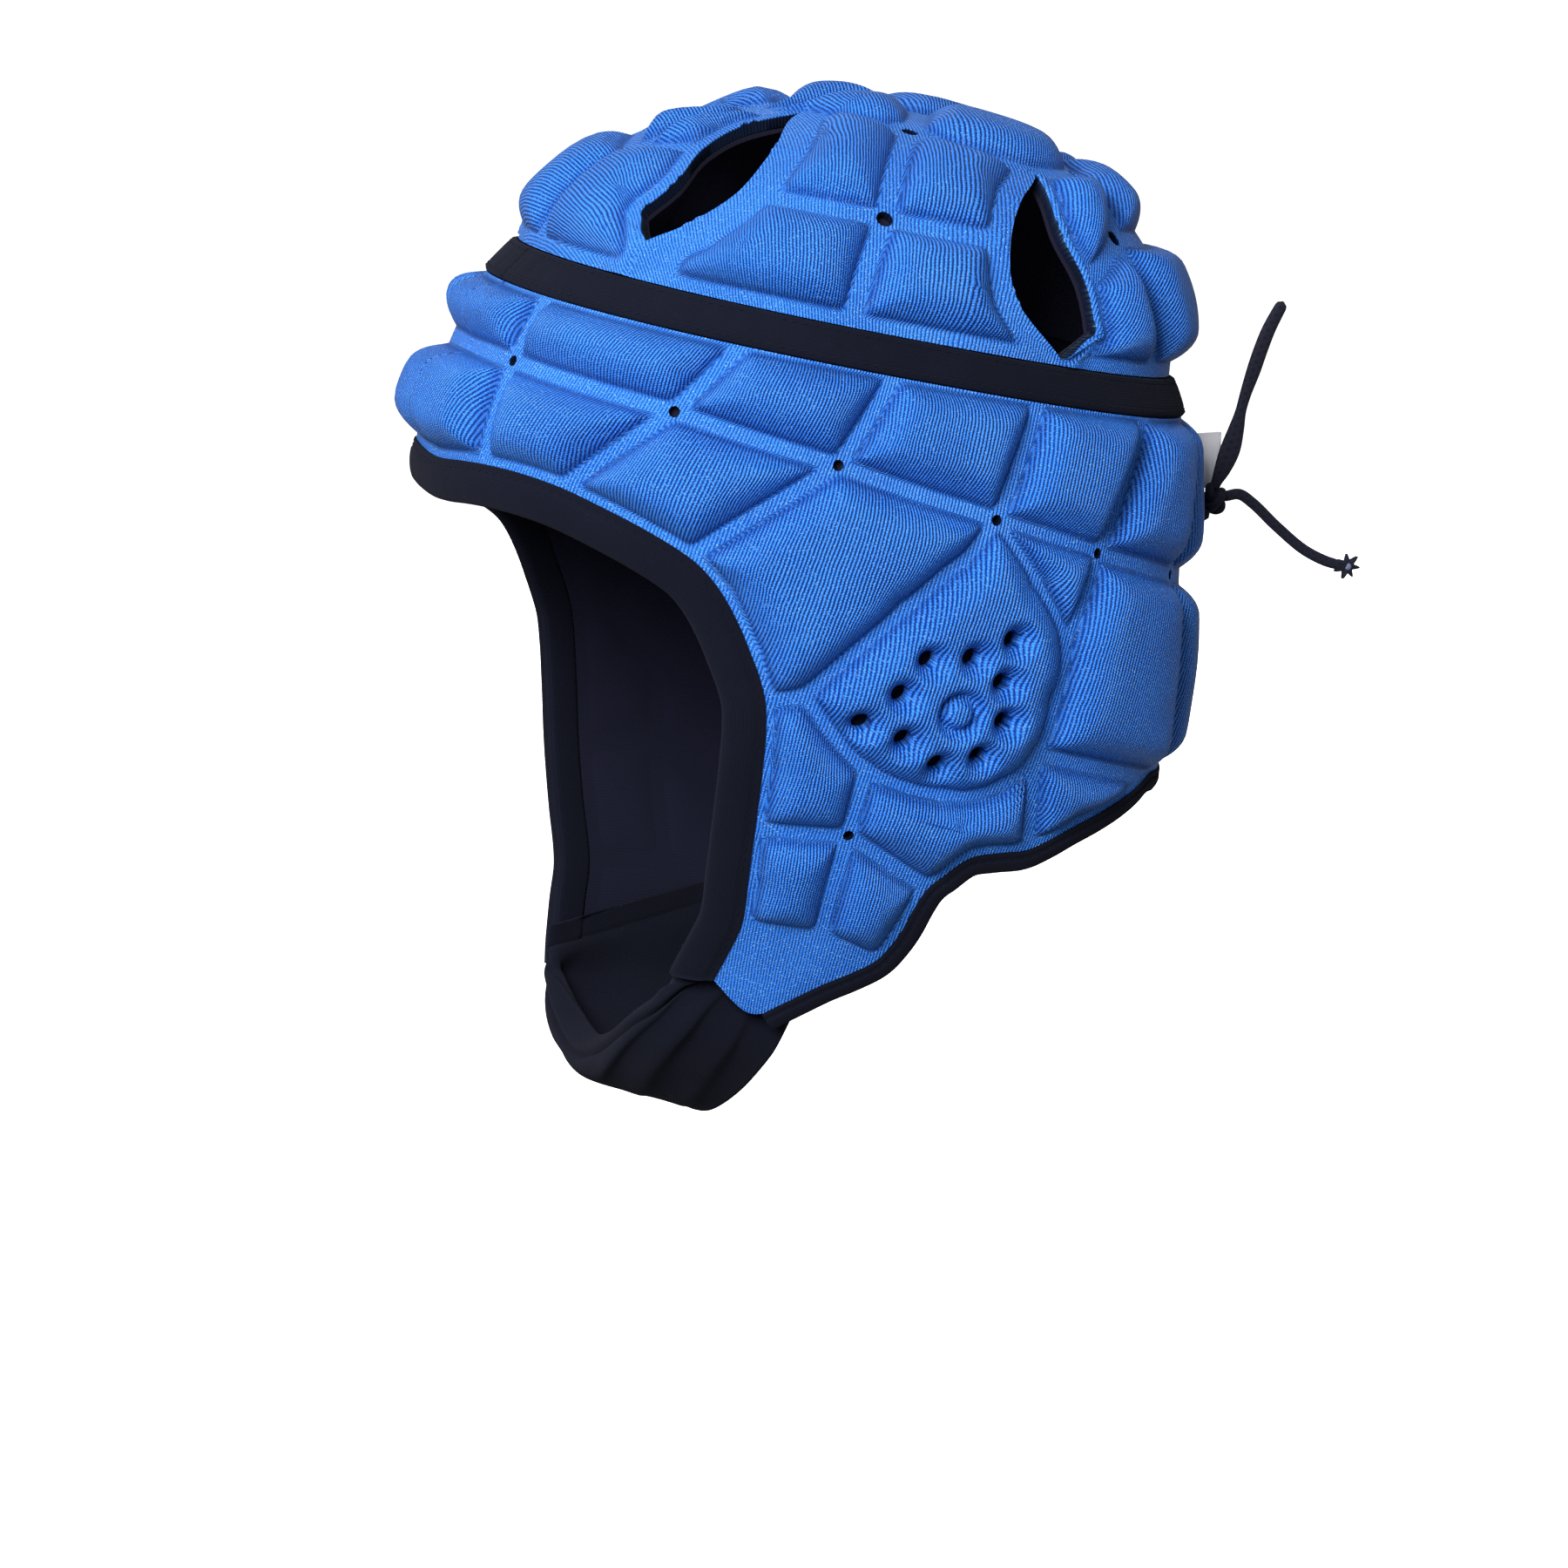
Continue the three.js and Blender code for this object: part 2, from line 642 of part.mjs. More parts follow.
// Chin strap: a cupped band from jaw to jaw under the chin, closed and fastened.
// Its lowest front and rear edges are measured from the band's centre.
const STRAP_LOW = { frontY: -73, frontZ: -197, rearY: -48, rearZ: -224 };
const STRAP_CUP = { forward: 20, down: 5 };
const STRAP_SPREAD = { front: 1.5, rear: 1.8 }; // how soon the two rims leave the lowest point
function chinStrap() {
  const build = new MeshBuilder();
  const [end] = faceFrames;
  const front = end.spot.clone().addScaledVector(end.away, FACE_BINDING).applyMatrix4(toRow);
  const rear = neckFrames[0].spot.clone().applyMatrix4(toRow);
  front.z -= STRAP_SEAM;
  rear.z -= STRAP_SEAM;
  const low = {
    front: new THREE.Vector3(0, STRAP_LOW.frontY, STRAP_LOW.frontZ).sub(seat),
    rear: new THREE.Vector3(0, STRAP_LOW.rearY, STRAP_LOW.rearZ).sub(seat),
  };
  const rim = (tip, base, power, t) => {
    const w = Math.abs(t) ** power;
    return new THREE.Vector3(tip.x * t, base.y + (tip.y - base.y) * t * t, base.z + (tip.z - base.z) * w);
  };
  const spot = (t, v) => {
    const a = rim(front, low.front, STRAP_SPREAD.front, t);
    const b = rim(rear, low.rear, STRAP_SPREAD.rear, t);
    const cup = 4 * v * (1 - v) * (1 - t ** 4);
    const p = a.lerp(b, v);
    p.y -= STRAP_CUP.forward * cup;
    p.z -= STRAP_CUP.down * cup;
    return p;
  };
  const facing = (t, v) => {
    const d = 0.01;
    const along = spot(Math.min(t + d, 1), v).sub(spot(Math.max(t - d, -1), v));
    const wide = spot(t, Math.min(v + d, 1)).sub(spot(t, Math.max(v - d, 0)));
    return along.cross(wide).normalize();
  };
  const rows = [];
  for (let i = 0; i <= STRAP_STEPS; i += 1) {
    const t = 1 - (2 * i) / STRAP_STEPS;
    const faces = [-1, 1].map((side) =>
      Array.from({ length: STRAP_ACROSS + 1 }, (_, k) => {
        const v = k / STRAP_ACROSS;
        return build.vertex(spot(t, v).addScaledVector(facing(t, v), (side * STRAP_THICK) / 2));
      }),
    );
    rows.push([...faces[0], ...faces[1].reverse()]);
  }
  return closeRows(build, rows, false);
}
solids.chin_strap = chinStrap();

// Lacing over the gap: eyelets in degrees inside the rear edge, levels in millimetres below the band.
const EYELET = REAR_EDGE - 1.3;
const LACE_LEVELS = { knot: 31, first: 42, second: 61, third: 80, rung: 87 };
const LACE_LOW = LACE_RADIUS + 0.4;
const LACE_HIGH = LACE_LOW + 2 * LACE_RADIUS + 0.5;
const KNOT_OUT = 12;
const KNOT_SIDE = 20; // the knot is drawn over to the eyelets of one edge
const KNOT_RADIUS = 4;
function cordTube(path, steps) {
  const shape = new THREE.Shape();
  for (let i = 0; i < LACE_SIDES; i += 1) {
    const a = (2 * Math.PI * (i + 0.5)) / LACE_SIDES;
    const p = [LACE_RADIUS * Math.cos(a), LACE_RADIUS * Math.sin(a)];
    if (i === 0) shape.moveTo(...p);
    else shape.lineTo(...p);
  }
  shape.closePath();
  const curve = new THREE.CatmullRomCurve3(path, false, "centripetal");
  return new THREE.ExtrudeGeometry(shape, { steps, bevelEnabled: false, extrudePath: curve, curveSegments: 1 });
}
const besideKnot = (point) => point.setX(point.x + KNOT_SIDE);
function lacePath() {
  const { knot, first, second, third, rung } = LACE_LEVELS;
  const left = (drop) => rowPoint(EYELET, drop, LACE_LOW + 0.3);
  const right = (drop) => rowPoint(-EYELET, drop, LACE_LOW + 0.3);
  const mid = (drop, height) => rowPoint(180, drop, height);
  const nearKnot = (side) => besideKnot(rowPoint(180 - side * 1.2, knot + 3.1, KNOT_OUT - 2.6));
  return [
    nearKnot(1),
    rowPoint(169.5, knot + 7, 5.5),
    left(first),
    mid((first + second) / 2, LACE_LOW),
    right(second),
    mid((second + third) / 2, LACE_LOW),
    left(third),
    mid(rung, LACE_LOW),
    right(third),
    mid((second + third) / 2, LACE_HIGH),
    left(second),
    mid((first + second) / 2, LACE_HIGH),
    right(first),
    rowPoint(-176, knot + 7, 5),
    nearKnot(-1),
  ];
}
const knotSpot = besideKnot(rowPoint(180, LACE_LEVELS.knot, KNOT_OUT));
// Free ends of the lace, from the knot: steps to the rear and up.
const END_UP = [
  [0.8, 4.3],
  [3.4, 8.5],
  [6.2, 14],
  [8.6, 22],
  [10.6, 29],
  [13.1, 38.8],
  [17.3, 48],
  [22.3, 57.6],
];
const END_DOWN = [
  [4.3, 0.6],
  [8.1, 0.8],
  [12.7, -2.5],
  [20, -9.3],
  [29.3, -16.5],
  [36.6, -20],
  [40.5, -20.6],
];
const freeEnd = (steps) => steps.map(([back, up]) => knotSpot.clone().add(new THREE.Vector3(0, back, up)));

// Blank folded tab beside the rear edge.
const LABEL = { theta: 171.3, drop: 21, height: 16, reach: 17, thick: 1 };
function labelTab() {
  const geometry = new THREE.BoxGeometry(LABEL.thick, LABEL.reach, LABEL.height);
  const base = rowPoint(LABEL.theta, LABEL.drop, GUSSET_OUT + GAP + 0.4);
  geometry.translate(base.x, base.y + LABEL.reach / 2, base.z);
  return geometry;
}

function geometryOf(solid) {
  const { vertProperties, triVerts } = solid.getMesh();
  const geometry = new THREE.BufferGeometry();
  geometry.setAttribute("position", new THREE.BufferAttribute(vertProperties, 3));
  geometry.setIndex(new THREE.BufferAttribute(triVerts, 1));
  geometry.computeVertexNormals();
  return geometry;
}

const cap = new THREE.Group();
cap.name = "scrum_cap";
function add(name, geometry, material) {
  const mesh = new THREE.Mesh(geometry, material);
  mesh.name = name;
  cap.add(mesh);
}
add("crown_pad", geometryOf(solids.crown_pad), materials.blue);
add("crown_lining", geometryOf(solids.crown_lining), materials.lining);
add("side_shell", geometryOf(solids.side_shell), materials.blue);
add("side_lining", geometryOf(solids.side_lining), materials.lining);
add("band", geometryOf(solids.band), materials.black);
add("face_binding", geometryOf(solids.face_binding), materials.black);
add("neck_binding", geometryOf(solids.neck_binding), materials.black);
add("chin_strap", geometryOf(solids.chin_strap), materials.black);
add("rear_gusset", geometryOf(solids.rear_gusset), materials.black);
add("rear_lace", cordTube(lacePath(), 52), materials.lace);
const knot = new THREE.SphereGeometry(KNOT_RADIUS, 10, 7);
knot.translate(knotSpot.x, knotSpot.y, knotSpot.z);
add("lace_knot", knot, materials.lace);
add("lace_end_up", cordTube(freeEnd(END_UP), 18), materials.lace);
add("lace_end_down", cordTube(freeEnd(END_DOWN), 16), materials.lace);
const star = new THREE.IcosahedronGeometry(2.8, 0);
const starSpot = freeEnd(END_DOWN)[END_DOWN.length - 1];
star.translate(starSpot.x, starSpot.y + 2.7, starSpot.z - 0.3);
add("lace_end_knot", star, materials.lace);
add("label", labelTab(), materials.white);

export default cap;
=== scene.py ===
import math

import bpy
import numpy as np
from bpy.props import FloatProperty, FloatVectorProperty, PointerProperty
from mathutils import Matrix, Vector
from mathutils.geometry import delaunay_2d_cdt


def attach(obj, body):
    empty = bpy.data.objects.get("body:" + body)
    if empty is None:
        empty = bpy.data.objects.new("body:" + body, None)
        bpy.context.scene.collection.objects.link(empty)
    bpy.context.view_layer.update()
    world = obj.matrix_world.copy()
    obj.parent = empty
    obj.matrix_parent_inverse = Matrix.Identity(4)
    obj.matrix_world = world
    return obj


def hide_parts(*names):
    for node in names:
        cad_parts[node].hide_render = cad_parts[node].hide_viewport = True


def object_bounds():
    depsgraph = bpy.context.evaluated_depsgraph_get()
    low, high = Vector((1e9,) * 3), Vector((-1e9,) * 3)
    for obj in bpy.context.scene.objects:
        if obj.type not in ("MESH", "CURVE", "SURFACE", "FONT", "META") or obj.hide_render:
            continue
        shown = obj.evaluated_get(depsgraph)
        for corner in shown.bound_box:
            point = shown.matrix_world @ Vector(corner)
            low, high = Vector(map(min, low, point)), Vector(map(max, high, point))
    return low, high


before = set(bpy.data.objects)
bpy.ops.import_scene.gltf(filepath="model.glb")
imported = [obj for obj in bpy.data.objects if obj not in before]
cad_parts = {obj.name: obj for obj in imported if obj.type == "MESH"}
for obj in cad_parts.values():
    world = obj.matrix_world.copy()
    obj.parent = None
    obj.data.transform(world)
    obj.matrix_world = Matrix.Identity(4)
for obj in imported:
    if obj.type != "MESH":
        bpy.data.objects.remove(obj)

bl_info = {
    "name": "Soft Shell Scrum Cap",
    "version": (1, 0, 0),
    "blender": (4, 5, 0),
    "location": "View3D > Sidebar > Scrum Cap",
    "description": "Sews the knit cover, foam cells, bindings and laces of a scrum cap over its frame",
    "category": "Mesh",
}

CAD_BOX = [list(v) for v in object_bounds()]

# Head form, drawn square to the elastic band, in millimetres and degrees.
BAND_PITCH = 13
PLAN_POWER = 2.25
CROWN_HALF_WIDTH = 78
CROWN_FRONT = 95
CROWN_BACK = 94
CROWN_HEIGHT = 62
POLE_SHIFT = 8
SIDE_POWER = 0.85
FRONT_POWER = 1.08
BACK_POWER = 0.83
# Columns: drop below the band, half width, front, back, shift to the rear.
SIDE_SECTIONS = np.array([
    [0, 80, 100, 99, 0],
    [25, 85, 113, 99, 5],
    [55, 88, 124, 98, 12],
    [90, 87, 126, 95, 20],
    [125, 81, 120, 88, 28],
    [165, 70, 104, 78, 37],
    [205, 58, 90, 65, 46],
], float)
SKIN = 3
GAP = 0.3
LINING_OUT = -3.3
LINING_IN = -4.5
BAND_HALF = 5
REAR_EDGE = 170
TOP_EDGE = BAND_HALF + GAP
CROWN_HOLE = 2.4
SIDE_HOLE = 1.55
# Charts: millimetres to a degree on the sheet, the last level with a clear normal, points to a curve.
SIDE_SCALE = 1.6
CROWN_SCALE = 1.4
EVEN = np.array([SIDE_SCALE, 1])
EDGE_EVEN = np.array([1.8, 1])
POLE_LIMIT = 87
LOW_LIMIT = 205
FINE = 24
PLAIN_STEP = 12
CROWN_EDGE = math.degrees(math.asin(TOP_EDGE / CROWN_HEIGHT))

# Corners of the crown's cells: degrees from the front, degrees of rise above the band.
CROWN_POINTS = {
    "frontBand": (0, CROWN_EDGE), "frontRow": (0, 36), "frontTop": (0, 58), "pole": (0, 90),
    "rearTop": (180, 69), "rearRow": (180, 41), "rearBand": (180, CROWN_EDGE),
    "holeTop": (69, 68.5), "holeSide": (74, 34), "holeRearTop": (148, 62), "holeRear": (130, 41),
    "seamBand": (31, CROWN_EDGE), "sideBand": (74, CROWN_EDGE), "footBand": (108.5, CROWN_EDGE),
    "rearSideBand": (137, CROWN_EDGE),
    "ventATop": (14, 65), "ventAFront1": (14, 54.5), "ventAFront2": (19, 43.5), "ventAFront3": (26, 31),
    "ventAFront4": (25, 21.5), "ventAFoot": (31, 14.5), "ventABack1": (38, 22), "ventABack2": (42, 33),
    "ventABack3": (37, 48),
    "ventBTop": (114, 60), "ventBFront1": (101, 47), "ventBFront2": (97, 34), "ventBFront3": (98, 20),
    "ventBFoot": (108.3, 6.3), "ventBBack1": (116, 14.5), "ventBBack2": (114, 27), "ventBBack3": (110, 41),
}
# Height of each cell's pad and the corners round it.
CROWN_CELLS = [
    (6, "frontBand seamBand ventAFoot ventAFront4 ventAFront3 ventAFront2 frontRow"),
    (6.5, "frontRow ventAFront2 ventAFront1 ventATop frontTop"),
    (6, "frontTop ventATop holeTop pole"),
    (6.5, "ventATop ventABack3 ventABack2 holeSide holeTop"),
    (8, "ventABack2 ventABack1 ventAFoot seamBand sideBand holeSide"),
    (6.5, "holeTop holeSide ventBFront2 ventBFront1 ventBTop"),
    (8, "holeSide sideBand footBand ventBFoot ventBFront3 ventBFront2"),
    (6, "pole holeTop ventBTop holeRearTop rearTop"),
    (7.5, "ventBTop ventBBack3 ventBBack2 holeRear holeRearTop"),
    (7.5, "holeRearTop holeRear rearRow rearTop"),
    (8, "ventBBack2 ventBBack1 ventBFoot footBand rearSideBand holeRear"),
    (8, "holeRear rearSideBand rearBand rearRow"),
]
CROWN_HOLES = ("holeTop", "holeSide", "holeRearTop", "holeRear")
CROWN_CURVES = (
    "ventATop ventAFront1 ventAFront2 ventAFront3 ventAFront4",
    "ventAFoot ventABack1 ventABack2 ventABack3 ventATop",
    "ventBTop ventBFront1 ventBFront2 ventBFront3 ventBFoot",
    "ventBBack1 ventBBack2 ventBBack3 ventBTop",
)
# Petals that lap over their neighbour at the foot of a vent: first corner of the cell, the seam, and the
# flat margin that the pad of the neighbour leaves under the lap.
LAPS = (("frontBand", "seamBand", "ventAFoot", 13), ("ventBBack2", "footBand", "ventBFoot", 10))
LAP_HEIGHT = 2.2
LAP_LIP = 1.4
LAP_REACH = 9
LAP_SLOPE = 6
HEM_HEIGHT = 0.85
HEM_PLACE = 1.3
# Flat ring that the pads leave round the hole near the top.
TOP_HOLE = "holeTop"
TOP_HOLE_CLEAR = 6.5
# Flat margin between a pad and an edge: of a vent, at the band, free, round the ear, in a groove, on a lap.
VENT_MARGINS = {"ventABack": 9.5, "ventAFront": 5, "ventBFront": 7}
BAND_MARGIN = 1.2
EDGE_MARGIN = 4.0
EAR_MARGIN = 1.5
CROWN_MARGIN = 3.0
SIDE_MARGIN = 2.4
LAP_MARGIN = 3.4

# Corners of the side shell's cells: degrees from the front, millimetres below the band.
SIDE_POINTS = {
    "top1": (16, TOP_EDGE), "top2": (58, TOP_EDGE), "top3": (82, TOP_EDGE), "top4": (103, TOP_EDGE),
    "top5": (129, TOP_EDGE), "top6": (152, TOP_EDGE), "top7": (REAR_EDGE, TOP_EDGE),
    "hole1": (15.5, 24), "hole2": (50, 26), "hole3": (75, 31), "hole4": (95, 38), "hole5": (114.5, 43),
    "hole6": (141, 48), "rearMid": (REAR_EDGE, 52), "rearEnd": (REAR_EDGE, 106),
    "browMid": (0, 57), "browFore": (17, 54), "browF": (34, 54), "browG": (55, 64),
    "face1": (60, 72), "face2": (64, 86), "faceEar": (66, 98), "face3": (65.5, 116),
    "jawMid": (64, 134), "face4": (62, 150), "jawLow": (60, 163), "tipFront": (54, 180),
    "tipMid": (61, 188.5), "tipRear": (67.5, 185), "bottom1": (75.5, 176), "bottom2": (83, 167),
    "bottom3": (86.5, 156), "bottom4": (89, 143), "bottom5": (94, 133), "bottom6": (104.5, 129),
    "bottom7": (115, 121), "bottom8": (130, 112), "rearFoot": (141, 106),
    "earSlope": (84, 66), "earLeft": (72, 94), "earJaw": (80, 111), "earBase": (89, 115),
    "earBack": (97, 110), "earFoot": (103, 100), "earRight": (106, 84), "triTip": (107.5, 68),
    "earTri": (101.5, 52), "jawHole": (78, 131), "jawInner": (74, 162),
}
EAR_LOOP = "hole4 earTri triTip earRight earFoot earBack earBase earJaw earLeft earSlope"
CENTRE_CELLS = [
    (8, "top1_r top1 hole1 hole1_r"),
    (10, "hole1_r hole1 browFore browMid browFore_r"),
]
SIDE_CELLS = [
    (8, "top1 top2 hole2 hole1"),
    (8, "top2 top3 hole3 hole2"),
    (8, "top3 top4 hole4 hole3"),
    (8, "top4 top5 hole5 hole4"),
    (8, "top5 top6 hole6 hole5"),
    (6.5, "top6 top7 rearMid hole6"),
    (8, "hole1 hole2 browF browFore"),
    (8, "hole2 hole3 browG browF"),
    (8, "hole3 hole4 earSlope earLeft faceEar face2 face1 browG"),
    (6, "hole4 hole5 triTip earTri"),
    (8, "hole5 hole6 rearFoot earFoot earRight triTip"),
    (6.5, "hole6 rearMid rearEnd rearFoot"),
    (6, "earFoot rearFoot bottom8 bottom7 bottom6"),
    (7, "jawHole earJaw earBase earBack earFoot bottom6 bottom5 bottom4"),
    (7, "faceEar earLeft earJaw jawHole jawMid face3"),
    (6, "jawMid jawHole jawInner jawLow face4"),
    (6, "jawHole bottom4 bottom3 bottom2 jawInner"),
    (0, "jawLow jawInner bottom2 bottom1 tipRear tipMid tipFront"),
    (4.5, EAR_LOOP),
]
SIDE_HOLES = ("hole1", "hole2", "hole3", "hole4", "hole5", "hole6", "jawHole")
FACE_CHAIN = "tipFront jawLow face4 jawMid face3 faceEar face2 face1 browG browF browFore browMid"
NECK_CHAIN = "tipRear bottom1 bottom2 bottom3 bottom4 bottom5 bottom6 bottom7 bottom8 rearFoot"
SIDE_CURVES = (
    FACE_CHAIN + " browFore_r",
    NECK_CHAIN,
    "tipFront tipMid tipRear",
    "hole4 earSlope earLeft",
    "earLeft earJaw earBase earBack earFoot earRight triTip earTri hole4",
)
# Holes of the ear panel and the round boss between them: degrees from the front, drop.
EAR_HOLES = [
    (97, 69), (91, 75.5), (86.5, 78), (83.5, 88.5), (79, 98),
    (95.5, 81), (96, 91.5), (92.5, 102), (88, 106), (84, 100.5),
]
EAR_BOSS = (89.6, 90.9)
EAR_HOLE = 2.6
# Pad of the ear panel: its height, the width of its wall, its lowest level, and then height, place and
# width of the rings that are pressed round each hole and round the boss.
EAR_PAD = 7
EAR_WALL = 8.5
EAR_LOW = -1.2
HOLE_BUMPS = ((-8, 0, 4.0), (0.5, 5.6, 1.8))
BOSS_BUMPS = ((-4.6, 4.9, 1.6), (-0.6, 0, 2.4))
# Net of the ear panel: stretch of its chart, points round a hole, their rings, step, and least distances.
EAR_EVEN = np.array([2.4, 1.0])
EAR_SIDES = 22
EAR_RINGS = ((0, True), (0.55, False), (1.3, False))
EAR_PITCH = 1.15
EAR_HOLE_CLEAR = 1.7
EAR_RIM_CLEAR = 2.2
EAR_POINT_CLEAR = 0.45

# Bindings: how far they lap on the cloth, the roll of their lip, and how far the far end is drawn on.
OVERLAP = -1.4
LIP = 1.4
FAR_REACH = 13
BINDING_STEP = 1.6
END_FADE = 40
# Stitches: length, radius, and the radius along one stitch.
STITCH_LENGTH = 1.9
STITCH_RADIUS = 0.24
STITCH_FORM = ((-1, 0.35), (-0.7, 0.85), (0, 1), (0.7, 0.85), (1, 0.35))
STITCH_SIDES = 6

# Chin strap, measured from the band's centre.
STRAP_LOW_FRONT = (0, -73, -203)
STRAP_LOW_REAR = (0, -48, -224)
STRAP_CUP = (18, -1)
STRAP_SPREAD = (1.15, 1.8)
STRAP_SEAM = 1.2
STRAP_BEND = 0.13
STRAP_WIDE = 34
STRAP_OVER = 1.07
STRAP_ROWS = 150
# Where its rear corners lie between the tip of the jaw and the next corner, on each side.
STRAP_REAR = (("", 0.6), ("_r", 1.5))
# Cup of the strap: its depth, and how fast it falls off to the front rim and to the rear one.
CUP_FORM = (7.5, 1.2, 1.8)
# How far its ends are tucked in under the jaw, and where along the strap that starts and is done.
STRAP_TUCK = (5.2, 0.76, 0.97)
# Points across the strap: from, to and count in the rolled rim, its seam and the rest.
STRAP_ACROSS = ((0.03, 0.17, 12), (0.18, 0.25, 11), (0.27, 0.97, 44))
# Folds pressed into the strap: place across it, lean, height, width.
STRAP_FOLDS = [
    (0.34, -0.36, 1.9, 0.05),
    (0.58, -0.28, 2.1, 0.055),
    (0.80, -0.20, 1.7, 0.05),
]

# Lacing: degrees, and millimetres below the band.
EYELET = REAR_EDGE - 1.3
LACE_RADIUS = 1.6
LACE_LOW = LACE_RADIUS + 0.4
LACE_HIGH = LACE_LOW + 2 * LACE_RADIUS + 0.5
KNOT_LEVEL = 31
CROSSINGS = (42, 61, 80)
RUNG_LEVEL = 87
KNOT_OUT = 12
KNOT_SIDE = np.array([20.0, 0, 0])
# Free ends from the knot: millimetres to the rear and up, half width across the lace.
END_UP = [
    (0.3, 2.4, 1.4), (0.6, 4.3, 1.6), (2.6, 8.5, 2.7), (4.9, 14, 3.3), (6.9, 20.5, 2.5), (8.1, 25.2, 1.75),
    (9.5, 30, 1.85), (11.8, 36.4, 2.3), (14, 42.5, 2.35), (16.5, 48.4, 2.25), (21, 56.2, 1.9),
]
END_DOWN = [
    (2.2, 0.4, 1.5), (4.3, 0.6, 1.6), (8.1, 0.8, 1.6), (12.7, -2.3, 1.6), (20, -9.2, 1.6), (29.3, -17, 1.6),
    (36.6, -21, 1.6), (42.3, -22.9, 1.5),
]
LACE_SIDES = 12
END_SIDES = 14
END_STEP = 0.8
# Frayed end and its core, from side to side: place, and share of the reach or radius.
STAR_FORM = ((-1.0, 0.35), (-0.9, 0.75), (-0.35, 1.0), (0.35, 1.0), (0.9, 0.75), (1.05, 0.42), (0.7, 0.28))
CORE_FORM = ((0.3, 0.9), (0.8, 1.05), (1.15, 0.9), (1.35, 0.5))
LABEL = (171.3, 21)
LABEL_HALF = 8

# Stage: half width of the floor in metres, camera in millimetres, its aim and the lights in metres.
FLOOR_REACH = 200.0
SENSOR = 36
LENS = 121.5
CLIP_END = 100
AIM_LEFT = 0.0163
AIM_DOWN = 0.1304
LIGHTS_DOWN = 0.07
# Lights: towards the camera, to its right and up from there, then size. Their powers are settings.
LIGHTS = {
    "key": (0.55, -1.0, 0.75, 1.1),
    "fill": (1.22, -0.32, 0.42, 0.6),
    "top": (0.25, 0.1, 1.25, 1.2),
    "rear": (-1.35, 0, 0.45, 0.8),
}


def rise_from(row, curve_x):
    """Monotone cubic through one column of the table of sections."""
    xs, ys = SIDE_SECTIONS[:, 0], SIDE_SECTIONS[:, row]
    slope = np.diff(ys) / np.diff(xs)
    same = slope[:-1] * slope[1:] > 0
    mean = np.where(same, slope[:-1] + slope[1:], 1)
    inner = np.where(same, 2 * slope[:-1] * slope[1:] / mean, 0)
    tangent = np.concatenate([slope[:1], inner, slope[-1:]])
    i = np.clip(np.searchsorted(xs, curve_x) - 1, 0, len(xs) - 2)
    w = xs[i + 1] - xs[i]
    t = np.clip((curve_x - xs[i]) / w, 0, 1)
    ends = ys[i] * (1 + 2 * t) * (1 - t) ** 2 + ys[i + 1] * t * t * (3 - 2 * t)
    return ends + w * t * (1 - t) * (tangent[i] * (1 - t) - tangent[i + 1] * t)


def squared(v):
    return np.sign(v) * np.abs(v) ** (2 / PLAN_POWER)


def crown_form(theta, rise):
    theta, rise = np.radians(np.asarray(theta, float)), np.radians(np.asarray(rise, float))
    s, c = squared(np.sin(theta)), squared(np.cos(theta))
    level, lift = np.maximum(np.cos(rise), 0), np.sin(rise)
    reach = np.where(c > 0, CROWN_FRONT * level ** FRONT_POWER, CROWN_BACK * level ** BACK_POWER)
    x = CROWN_HALF_WIDTH * level ** SIDE_POWER * s
    return np.stack([x, POLE_SHIFT * lift * lift - reach * c, CROWN_HEIGHT * lift + 0 * s], -1)


def side_form(theta, drop):
    theta, drop = np.broadcast_arrays(np.radians(np.asarray(theta, float)), np.asarray(drop, float))
    s, c = squared(np.sin(theta)), squared(np.cos(theta))
    reach = np.where(c > 0, rise_from(2, drop), rise_from(3, drop))
    return np.stack([rise_from(1, drop) * s, rise_from(4, drop) - reach * c, -drop], -1)


def unit(v):
    return v / np.maximum(np.linalg.norm(v, axis=-1, keepdims=True), 1e-9)


def run_of(line):
    """How far along a line each of its points lies."""
    return np.concatenate([[0], np.cumsum(np.linalg.norm(np.diff(line, axis=0), axis=1))])


def sampled(line, run, at):
    """Points of a line at the given distances along it."""
    return np.stack([np.interp(at, run, column) for column in line.T], -1)


def spaced(line, step):
    """The same line with points an even step apart."""
    run = run_of(line)
    return sampled(line, run, np.linspace(0, run[-1], max(2, round(run[-1] / step)) + 1))


def turns(count):
    """Angles of a ring of points."""
    return 2 * np.pi * np.arange(count) / count


def level_line(theta, level):
    """Chart points at one level."""
    return np.stack([theta, np.full(len(theta), float(level))], -1)


def bare_names(names):
    """Names of corners without the mark of the mirrored side."""
    return [name.removesuffix("_r") for name in names]


def eased(value, low, high):
    t = np.clip((value - low) / (high - low), 0, 1)
    return t * t * (3 - 2 * t)


def flowing(controls, fine=FINE):
    """A smooth line through the controls, centripetal, with its ends drawn on straight."""
    p = np.asarray(controls, float)
    p = np.vstack([2 * p[0] - p[1], p, 2 * p[-1] - p[-2]])
    t = np.linspace(0, 1, fine, endpoint=False)[:, None]
    parts = []
    for a, b, c, d in zip(p, p[1:], p[2:], p[3:]):
        ka, kb, kc = (max(np.linalg.norm(q - r) ** 0.5, 1e-6) for r, q in ((a, b), (b, c), (c, d)))
        into = ((b - a) / ka - (c - a) / (ka + kb) + (c - b) / kb) * kb
        out = ((c - b) / kb - (d - b) / (kb + kc) + (d - c) / kc) * kb
        parts.append((2 * t ** 3 - 3 * t ** 2 + 1) * b + (t ** 3 - 2 * t ** 2 + t) * into
                     + (3 * t ** 2 - 2 * t ** 3) * c + (t ** 3 - t ** 2) * out)
    return np.vstack([*parts, p[-2:-1]])


